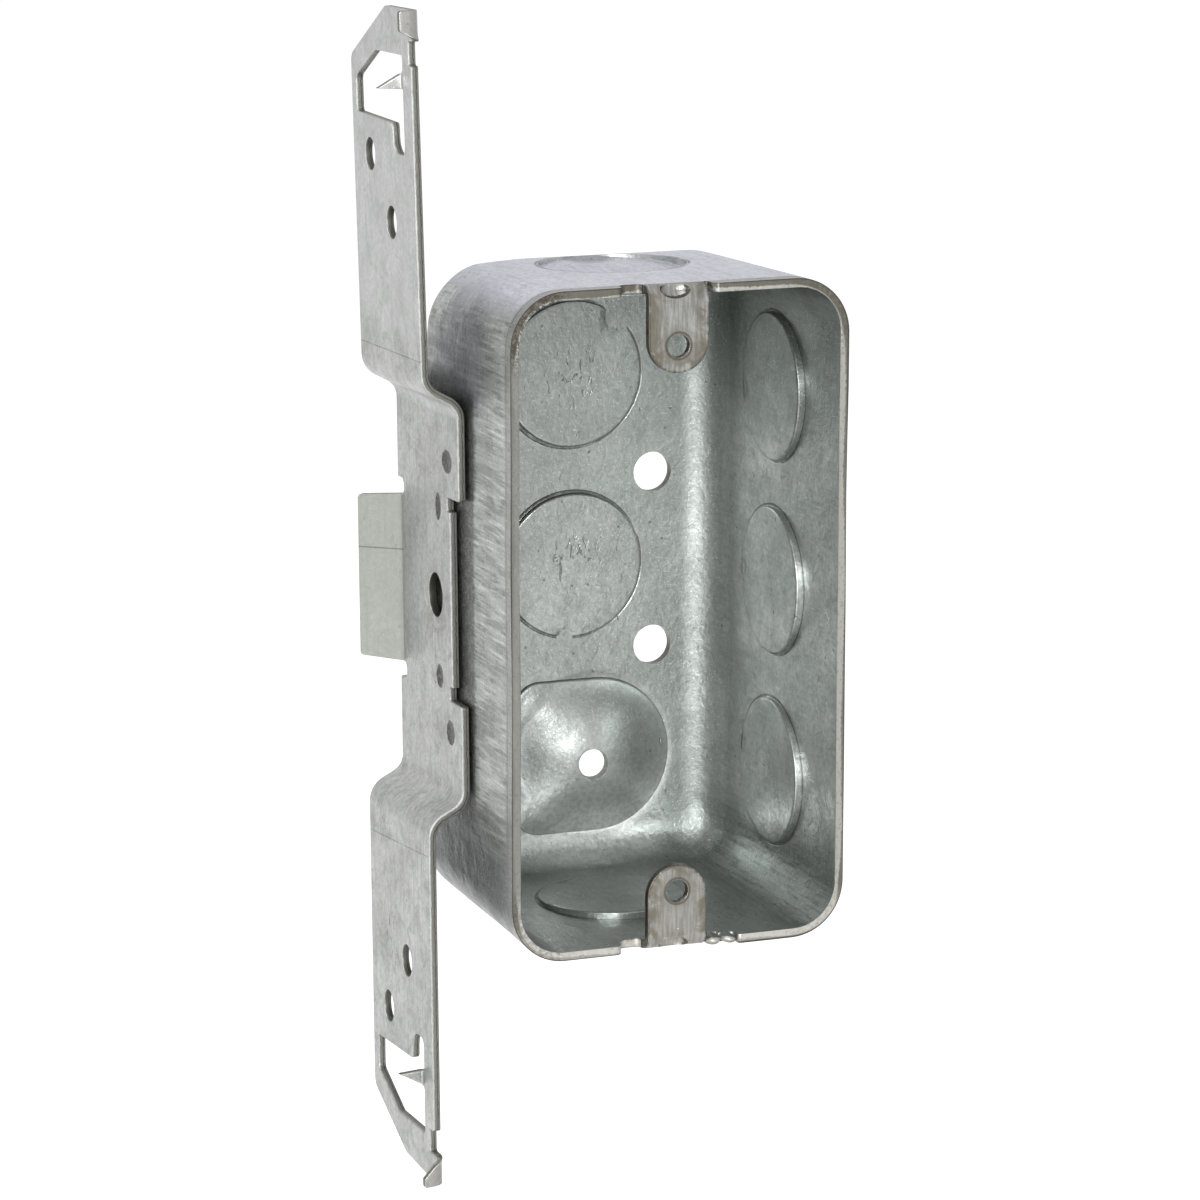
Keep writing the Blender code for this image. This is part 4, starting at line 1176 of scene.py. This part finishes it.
def box_material():
    """Drawn galvanised steel: grey-green zinc, draw marks on the walls, brown sheared edges, and
    painted light and shade on several walls, the top tie, the boss and the holes.
    """
    material = bpy.data.materials.new("box_steel_worn_and_shaded")
    tree = Tree(material)
    ramp, near, product = tree.ramp, tree.near, tree.product
    place = tree.add("ShaderNodeTexCoord")["Object"]
    x, part_y, z = tree.axes(place)
    y = tree.total(part_y, BOX_DEPTH - KNOCKOUT_STEP)
    side, end = tree.math("ABSOLUTE", x), tree.math("ABSOLUTE", z)
    outside, shear = tree.mask("outside"), tree.mask("shear")
    tab, tab_edge = tree.mask("tab"), tree.mask("tab_edge")
    inside = tree.math("SUBTRACT", 1.0, outside)
    normal = tree.axes(tree.add("ShaderNodeNewGeometry")["Normal"])
    facing_up = ramp(normal[2], 0.35, 0.9)

    clouds = tree.noise(place, 75.0, 4.0, 0.6)
    patches = tree.noise(place, 260.0, 4.0, 0.6, 0.6)
    grain = tree.noise(place, 1300.0, 3.0, 0.65)
    speckle = tree.noise(place, 3200.0, 2.0)
    marks = tree.noise(place, (1500.0, 100.0, 1500.0), 4.0, 0.65)
    streaks = tree.noise(place, (520.0, 45.0, 520.0), 3.0, 0.7)
    hammer = tree.noise(place, (900.0, 420.0, 620.0), 3.0, 0.6, 0.8, (0.35, 0.2, 0.0))
    scatter = tree.noise(place, (900.0, 900.0, 420.0), 2.0, 0.5, 1.2, (0.0, 0.5, 0.0))
    torn = tree.noise(place, 1500.0, 4.0, 0.7)
    strands = tree.noise(place, (2600.0, 400.0, 260.0), 3.0, 0.6)

    # Where the drawing marked the metal
    corner = product(ramp(side, 0.014, 0.022), ramp(end, 0.036, 0.045))
    calm = product(outside, ramp(facing_up, 0.0, 0.3, 0.7, 0.12))
    mark_share = tree.highest(product(inside, ramp(corner, 0.0, 1.0, 0.12, 0.6)), calm)
    rear_fold = product(inside, ramp(x, 0.0165, 0.0200), ramp(y, 0.036, 0.040))
    # The outer left wall, and its shade beside the bracket's plate
    left = product(outside, ramp(x, -0.020, -0.024))
    along_plate = ramp(end, 0.036, 0.030)
    ragged_y = tree.total(y, ramp(patches, 0.3, 0.7, -0.0020, 0.0012),
                          ramp(marks, 0.35, 0.65, -0.0022, 0.0014))
    # The tie of the top knockout, the boss and the tabs' holes
    tie_reach = tree.reach(x, y, (TOP_KNOCKOUT_SIDE, TOP_KNOCKOUT_DEPTH + KNOCKOUT_RADIUS))
    top_tie = product(ramp(z, 0.046, 0.047),
                      ramp(tie_reach, WIDE_TIE_REACH * 1.6, WIDE_TIE_REACH * 0.8))
    boss_reach = tree.reach(x, z, (BOSS_CENTRE_X, BOSS_CENTRE_Z))
    raised = ramp(y, 0.034, 0.036)
    off_hole = tree.reach(x, end, (TAB_CENTRE_X, TAB_HOLE_SPACING / 2.0))
    # Lines round the discs, and pits where the punch pressed
    line, disc_middle = disc_lines(tree, x, y, z, patches)
    pits = tree.highest(product(disc_middle, ramp(scatter, 0.60, 0.66)),
                        ramp(scatter, 0.735, 0.77))

    cloudy = ramp(clouds, 0.3, 0.7)
    outer = tree.layered((134, 136, 133), ((160, 162, 159), cloudy))
    tab_colour = tree.layered((121, 121, 117), ((154, 154, 150), ramp(strands, 0.34, 0.68)),
                              ((122, 120, 114), ramp(z, 0.01, -0.01, 0.0, 0.35)))
    # Dark brown for the tabs' sheared sides, their own colour, and painted shade on the upright
    # faces at the back wall, chiefly its holes' walls
    sheared_side_and_hole_shade = tree.layered((54, 51, 44), ((92, 88, 80), ramp(torn, 0.3, 0.7)))
    colour = tree.layered(
        (162, 166, 164), ((186, 190, 188), cloudy),
        ((142, 147, 144), ramp(patches, 0.35, 0.7, 0.0, 0.4)),
        # The outside's own colour, then painted light: upward outer faces lighter and lavender,
        # as if lit from above
        (outer, outside), ((190, 189, 200), outside, facing_up),
        # Draw marks, streaks and hammered zinc
        ((88, 90, 87), mark_share, ramp(patches, 0.35, 0.6, 0.25, 1.0),
         ramp(marks, 0.50, 0.60, 0.0, 1.3)),
        ((204, 204, 201), mark_share, ramp(marks, 0.45, 0.34, 0.0, 0.8)),
        ((104, 106, 102), calm, ramp(streaks, 0.50, 0.62, 0.0, 1.1)),
        ((112, 118, 114), inside, ramp(hammer, 0.54, 0.70, 0.0, 0.36)),
        ((214, 217, 215), inside, ramp(hammer, 0.44, 0.30, 0.0, 0.25)),
        # Inside, painted shade: on the bottom wall, the upper right corner, the back wall
        # (stronger towards its top) and the rear fold; then a painted highlight along the low
        # fold
        ((90, 96, 93), 0.66, inside, ramp(z, -0.036, -0.042), ramp(patches, 0.2, 0.7, 1.0, 0.7)),
        ((84, 90, 86), 0.80, inside, ramp(x, 0.019, 0.022), ramp(z, 0.016, 0.040)),
        ((124, 129, 126), inside, ramp(y, 0.040, 0.043), ramp(z, -0.010, 0.025, 0.38, 0.50)),
        ((118, 124, 121), 0.22, rear_fold),
        ((218, 221, 219), 0.55, inside, ramp(z, -0.037, -0.040), ramp(z, -0.0485, -0.0465),
         ramp(y, 0.036, 0.040), ramp(x, 0.018, 0.012)),
        # Outside: painted shade on the top knockout's tie, a bluish painted shadow of the upper
        # arm, the shade by the plate, painted shade on the low left wall, and the rim's band
        ((128, 129, 133), 0.75, top_tie),
        ((120, 124, 138), 0.52, left, ramp(tree.reach(y, z, (0.024, 0.0365)), 0.017, 0.006),
         ramp(patches, 0.2, 0.6, 0.55, 1.0)),
        ((62, 62, 60), 0.80, left, ramp(ragged_y, 0.0150, 0.0186), along_plate),
        ((30, 30, 29), 0.85, left, ramp(y, 0.0165, 0.0180), along_plate),
        ((66, 67, 69), 0.85, left, ramp(z, -0.026, -0.040)),
        ((118, 118, 114), 0.7, outside, ramp(y, 0.0034, 0.0020)),
        ((86, 86, 82), 0.65, outside, near(y, 0.0021, 0.00040, 0.00010),
         ramp(patches, 0.25, 0.55, 0.5, 1.0)),
        # Disc lines, pits, scattered dots, painted light on the lower part of the boss, grain and
        # speckle
        ((70, 72, 68), 0.8, line), ((78, 82, 78), 0.7, pits),
        ((70, 70, 66), 0.6, tree.dots(place, 260.0, 0.075, 0.045)),
        ((226, 230, 228), 0.45, inside, ramp(boss_reach, 0.0150, 0.0125), raised,
         ramp(z, BOSS_CENTRE_Z + 0.001, BOSS_CENTRE_Z - 0.006)),
        ((118, 124, 120), ramp(grain, 0.42, 0.62, 0.0, 0.30)),
        ((224, 228, 226), ramp(speckle, 0.60, 0.72, 0.0, 0.35)),
        # Tabs: stain, torn border, the washed ring and the collar of the hole
        (tab_colour, tab),
        ((94, 88, 74), 0.8, tab, ramp(patches, 0.40, 0.58), ramp(tab_edge, 0.35, 0.85)),
        ((64, 60, 52), 0.8, tab, ramp(tab_edge, 0.90, 0.97), ramp(torn, 0.35, 0.60)),
        ((108, 104, 94), 0.5, tab, ramp(off_hole, 0.0036, 0.0022),
         ramp(patches, 0.2, 0.6, 0.5, 1.0)),
        ((70, 66, 58), 0.75, tab, near(off_hole, TAB_HOLE_RADIUS + 0.00032, 0.00028, 0.00008)),
        (box_edge(tree, x, z, torn, place), shear), (sheared_side_and_hole_shade, tree.mask("sheared_side_and_hole_shade")))

    polished = product(inside, ramp(boss_reach, 0.0145, 0.0120), raised)
    rough = tree.total(
        ramp(patches, 0.25, 0.75, 0.27, 0.38), product(shear, 0.15), product(polished, 0.04),
        product(rear_fold, 0.12), product(top_tie, 0.20), product(outside, facing_up, 0.15))
    unpolished = ramp(polished, 0.0, 1.0, 1.0, 0.12)
    beaten = product(inside, tree.math("SUBTRACT", 1.0, polished))
    tree.make_metal(colour, rough, tree.relief(
        (product(unpolished, clouds), 0.0010, 0.35), (product(unpolished, patches), 0.00016, 0.6),
        (product(beaten, hammer), 0.00009, 0.8), (grain, 0.00005, 0.9),
        (product(marks, mark_share), 0.00005, 0.8), (tree.highest(line, pits), -0.00012, 0.8)))
    return material


def bracket_material():
    """Galvanised strip steel, lighter than the box, with brown weld dents, painted shade on the
    flag, the hooks and in the holes, and painted light on the upper arm.
    """
    material = bpy.data.materials.new("bracket_steel_worn_and_shaded")
    tree = Tree(material)
    ramp, near, product = tree.ramp, tree.near, tree.product
    place = tree.add("ShaderNodeTexCoord")["Object"]
    flat = tree.add("ShaderNodeAttribute", attribute_name="flat")["Vector"]
    across, along, height = tree.axes(flat)
    shear = tree.mask("shear")

    clouds = tree.noise(flat, 80.0, 4.0, 0.6)
    patches = tree.noise(flat, 300.0, 4.0, 0.6, 0.6)
    grain = tree.noise(place, 1300.0, 3.0, 0.65)
    speckle = tree.noise(place, 3200.0, 2.0)
    strands = tree.noise(flat, (1500.0, 90.0, 1.0), 3.0, 0.6)
    blot = tree.noise(flat, (420.0, 300.0, 1.0), 3.0, 0.6, 1.0)
    nugget = tree.noise(flat, (1100.0, 1100.0, 1.0), 3.0, 0.6, 0.8)
    gouges = tree.noise(flat, (900.0, 330.0, 1.0), 2.0, 0.5, 1.4)
    torn = tree.noise(flat, (900.0, 900.0, 900.0), 4.0, 0.7)

    spots = []
    for at_x, at_y, wide, tall in WELD_MARKS:
        far_x = tree.math("DIVIDE", tree.math("SUBTRACT", across, at_x), wide)
        far_y = tree.math("DIVIDE", tree.math("SUBTRACT", along, at_y), tall)
        spots.append(ramp(tree.reach(far_x, far_y), 1.08, 0.80))
    dent = tree.highest(*spots)
    burnt = tree.total(dent, product(dent, ramp(grain, 0.3, 0.7, -0.5, 0.5)))
    # Dark lines across both arms just past their steps, and one across the flag
    slanted = tree.total(along, product(across, LOWER_DARK_LINE_SLOPE))
    dark_lines = tree.highest(
        near(along, arm_root(1.0) + UPPER_DARK_LINE, 0.00016, 0.00004),
        near(slanted, -arm_root(-1.0) - LOWER_DARK_LINE, 0.00014, 0.00004),
        product(ramp(across, 0.0270, 0.0280), near(along, 0.0045, 0.00016, 0.00005)))
    smoke_reach = tree.reach(across, along, (0.0125, -0.002))
    gouge_reach = tree.reach(across, along, (0.0205, -arm_root(-1.0) - 0.0175))
    # The sheared edge: its rolled side is bright, and a dark line runs along its other side
    level = tree.total(height, ramp(torn, 0.3, 0.7, -0.00010, 0.00010))
    edge = tree.layered(
        (114, 114, 110), ((92, 92, 87), ramp(torn, 0.35, 0.7)),
        ((58, 57, 51), ramp(level, -0.00010, -0.00018)),
        ((106, 105, 99), ramp(level, -0.00024, -0.00032)),
        ((148, 149, 146), ramp(level, 0.00026, 0.00036)))
    colour = tree.layered(
        (152, 153, 152), ((172, 173, 172), ramp(clouds, 0.3, 0.7)),
        ((126, 128, 125), ramp(patches, 0.45, 0.70, 0.0, 0.6)),
        ((128, 129, 126), ramp(strands, 0.45, 0.70, 0.0, 0.5)),
        ((108, 110, 107), ramp(grain, 0.42, 0.62, 0.0, 0.34)),
        ((108, 106, 98), ramp(blot, 0.66, 0.72, 0.0, 0.55)),
        ((80, 78, 72), 0.6, tree.dots(place, 240.0, 0.07, 0.04)),
        ((226, 228, 228), ramp(speckle, 0.60, 0.72, 0.0, 0.3)),
        # Painted shade on the flag, the welds, painted light on the upper arm, smoke, dark lines
        # and gouges
        ((140, 143, 134), 0.7, ramp(across, 0.0268, 0.0280), near(along, 0.0, 0.0145, 0.0138)),
        ((38, 38, 29), ramp(burnt, 0.1, 0.7, 0.0, 0.95)),
        ((104, 105, 94), dent, ramp(nugget, 0.52, 0.62, 0.0, 0.6)),
        ((206, 207, 207), 0.22, ramp(along, 0.038, 0.048)),
        ((108, 104, 92), 0.4, ramp(smoke_reach, 0.0085, 0.003), ramp(patches, 0.35, 0.6)),
        ((92, 92, 88), dark_lines, ramp(patches, 0.30, 0.55, 0.15, 0.75)),
        ((88, 87, 80), ramp(gouge_reach, 0.0075, 0.0020), ramp(gouges, 0.60, 0.66, 0.0, 0.8)),
        # Sheared edges; painted shade on the faces of the hooks and inside the holes
        (edge, shear),
        ((132, 127, 120), 0.5, ramp(across, -0.0006, -0.0012),
         tree.math("SUBTRACT", 1.0, shear)),
        ((50, 50, 43), 0.9, tree.mask("hole_shade")))
    rough = tree.total(ramp(patches, 0.25, 0.75, 0.34, 0.46), product(shear, 0.1))
    tree.make_metal(colour, rough, tree.relief(
        (clouds, 0.0008, 0.3), (product(dent, nugget), 0.00020, 1.0), (grain, 0.00004, 0.8),
        (strands, 0.00003, 0.6)))
    return material


def seen(tree):
    """1 for what the camera, a reflection or glass shows; 0 for light that only brightens."""
    path = tree.add("ShaderNodeLightPath")
    return tree.highest(path["Is Camera Ray"], path["Is Glossy Ray"], path["Is Transmission Ray"])


def add_floor():
    """A pale floor well below the part, so that its soft shadow falls outside the view."""
    mesh = bpy.data.meshes.new("floor")
    signs = ((-1.0, -1.0), (1.0, -1.0), (1.0, 1.0), (-1.0, 1.0))
    corners = [(FLOOR_HALF * x, FLOOR_HALF * y, FLOOR_LEVEL) for x, y in signs]
    mesh.from_pydata(corners, [], [(0, 1, 2, 3)])
    floor = linked("floor", mesh)
    material = bpy.data.materials.new("floor_pale")
    tree = Tree(material)
    surface = tree.nodes["Principled BSDF"].inputs
    surface["Base Color"].default_value = (0.8, 0.8, 0.8, 1.0)
    surface["Roughness"].default_value = 0.9
    surface["Specular IOR Level"].default_value = 0.0
    surface["Emission Color"].default_value = (1.0, 1.0, 1.0, 1.0)
    tree.feed(surface["Emission Strength"], tree.product(seen(tree), FLOOR_GLOW))
    mesh.materials.append(material)


def add_world():
    """A white surround that lights the part at a plain level."""
    world = bpy.data.worlds.new("studio")
    bpy.context.scene.world = world
    tree = Tree(world)
    surface = tree.nodes["Background"].inputs
    surface["Color"].default_value = (1.0, 1.0, 1.0, 1.0)
    tree.feed(surface["Strength"], tree.ramp(seen(tree), 0.0, 1.0, WORLD_LIGHT, 1.0))


def add_lamp(name, place, size, power):
    """A soft square lamp aimed at the part."""
    data = bpy.data.lights.new(name, "AREA")
    data.shape = "SQUARE"
    data.size = size
    data.energy = power
    lamp = linked(name, data)
    lamp.location = place
    aim = Vector(LAMP_AIM) - Vector(place)
    lamp.rotation_euler = aim.to_track_quat("-Z", "Y").to_euler()


def add_camera():
    """The camera of the photograph."""
    data = bpy.data.cameras.new("camera")
    data.sensor_width = CAMERA_SENSOR
    data.lens = CAMERA_LENS
    data.clip_start = 0.01
    data.clip_end = 50.0
    camera = linked("camera", data)
    camera.location = CAMERA_PLACE
    camera.rotation_euler = (CAMERA_TILT, 0.0, CAMERA_TURN)
    bpy.context.scene.camera = camera


def round_edges(item):
    """Take the razor edge off every sharp corner of the metal."""
    rounded = item.modifiers.new("rounded_edges", "BEVEL")
    rounded.width = SHEARED_EDGE_ROUNDING
    rounded.segments = 2
    rounded.limit_method = "ANGLE"
    rounded.angle_limit = math.radians(40.0)
    rounded.use_clamp_overlap = True
    apply_modifiers(item)


def rim_distance(x, z):
    """How far a point of the rim's plane lies outside the box's outline; negative inside."""
    away_x = abs(x) - (BOX_WIDTH / 2.0 - RIM_CORNER_RADIUS)
    away_z = abs(z) - (BOX_HEIGHT / 2.0 - RIM_CORNER_RADIUS)
    corner = math.hypot(max(away_x, 0.0), max(away_z, 0.0))
    return corner + min(max(away_x, away_z), 0.0) - RIM_CORNER_RADIUS


def box_masks(mesh):
    """Keep on the box's mesh where it is sheared, which side is out, and where the tabs are."""
    shear, outside, tab, sheared_side_and_hole_shade = (mesh.attributes.new(name, "FLOAT", "FACE").data
                                 for name in ("shear", "outside", "tab", "sheared_side_and_hole_shade"))
    rim, tab_edge = (mesh.attributes.new(name, "FLOAT", "POINT").data
                     for name in ("rim", "tab_edge"))
    _, bend_depth, _, sheet_z = tab_places()
    half_tab = TAB_WIDTH / 2.0
    for face in mesh.polygons:
        x, y, z = face.center
        normal = face.normal
        depth = rim_distance(x, z) + wall_inset(y)
        off_tab = abs(x - TAB_CENTRE_X)
        in_tab = off_tab < half_tab + 0.0001 and y < bend_depth + TAB_MARGIN
        on_tab = in_tab and abs(z) > TAB_TIP_Z - TAB_TIP_MARGIN
        at_rim = (y < RIM_FACE_DEPTH and normal.y < -0.5 and depth > -SIDE_SHEET * 1.3
                  and not in_tab)
        cut = (y < NOTCH_DEPTH + 0.0002 and half_tab < off_tab < half_tab + NOTCH_REACH
               and abs(z) > NOTCH_LEVEL and abs(normal.z) < 0.6)
        tab_side = on_tab and (abs(normal.x) > 0.6 or
                               (abs(z) < sheet_z - TAB_MARGIN and abs(normal.y) < 0.5))
        through = (y > BOX_DEPTH - HOLES_DEPTH and abs(normal.y) < 0.3
                   and abs(z) < HOLES_HALF_HEIGHT and abs(x) < HOLES_HALF_WIDTH)
        away = Vector((x, 0.0, z)).normalized().dot(normal) > 0.05
        sunk = normal.z > 0.5 and z > BOX_HEIGHT / 2.0 - SUNK_DISC_DEPTH
        wall = y < BOX_DEPTH - 0.003 and away and (depth > -0.001 or sunk)
        rear = normal.y > 0.7 or (normal.y > 0.15 and y > BOX_DEPTH - REAR_FOLD_DEPTH)
        shear[face.index].value = float(at_rim or cut)
        # Tab sides keep their dark sheared colour; upright faces at the back get painted shade
        sheared_side_and_hole_shade[face.index].value = float(tab_side or through)
        tab[face.index].value = float(on_tab and not tab_side and normal.y < 0.5)
        outside[face.index].value = float(rear or wall)
    for vert in mesh.vertices:
        x, y, z = vert.co
        rim[vert.index].value = -rim_distance(x, z) / SIDE_SHEET
        beyond = max(TAB_TIP_Z + half_tab - abs(z), 0.0)
        reach = math.hypot(x - TAB_CENTRE_X, beyond)
        tab_edge[vert.index].value = min(reach / half_tab, 1.0)


def bracket_masks(mesh):
    """Keep on the bracket's mesh which faces line its holes, and how much painted shade they get.
    """
    hole_shade = mesh.attributes.new("hole_shade", "FLOAT", "FACE").data
    shear = mesh.attributes["shear"].data
    flat = mesh.attributes["flat"].data
    places = [(CENTRE_HOLE_FROM_FRONT, 0.0, CENTRE_HOLE_RADIUS, 1.0)]
    places += [(*place, ARM_HOLE_RADIUS, 0.6) for up in (1.0, -1.0) for place in arm_holes(up)]
    for face in mesh.polygons:
        if shear[face.index].value < 0.5:
            continue
        points = [flat[index].vector for index in face.vertices]
        middle = sum(points, Vector()) / len(points)
        for at_x, at_y, radius, darkness in places:
            if math.hypot(middle.x - at_x, middle.y - at_y) < radius + 0.0003:
                hole_shade[face.index].value = darkness


def finish_piece(item, node, material):
    """Put a finished piece in the part's frame, attach it to the root body, and hide the CAD node
    that it takes the place of.
    """
    item.data.transform(Matrix.Translation((0.0, KNOCKOUT_STEP - BOX_DEPTH, 0.0)))
    item.data.materials.clear()
    item.data.materials.append(material)
    item.data.set_sharp_from_angle(angle=math.radians(50.0))
    item.data.shade_smooth()
    even = item.modifiers.new("even_shading", "WEIGHTED_NORMAL")
    even.keep_sharp = True
    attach(item, "root")
    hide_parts(node)


def main():
    """Dress the part, light it and set the camera."""
    bpy.context.scene.view_settings.view_transform = "Standard"
    add_camera()
    add_floor()
    add_world()
    for lamp in LAMPS:
        add_lamp(*lamp)
    box = build_box()
    round_edges(box)
    settle_box(box.data)
    box_masks(box.data)
    finish_piece(box, "box_body", box_material())
    bracket = build_bracket()
    bracket_masks(bracket.data)
    finish_piece(bracket, "stud_bracket", bracket_material())


main()
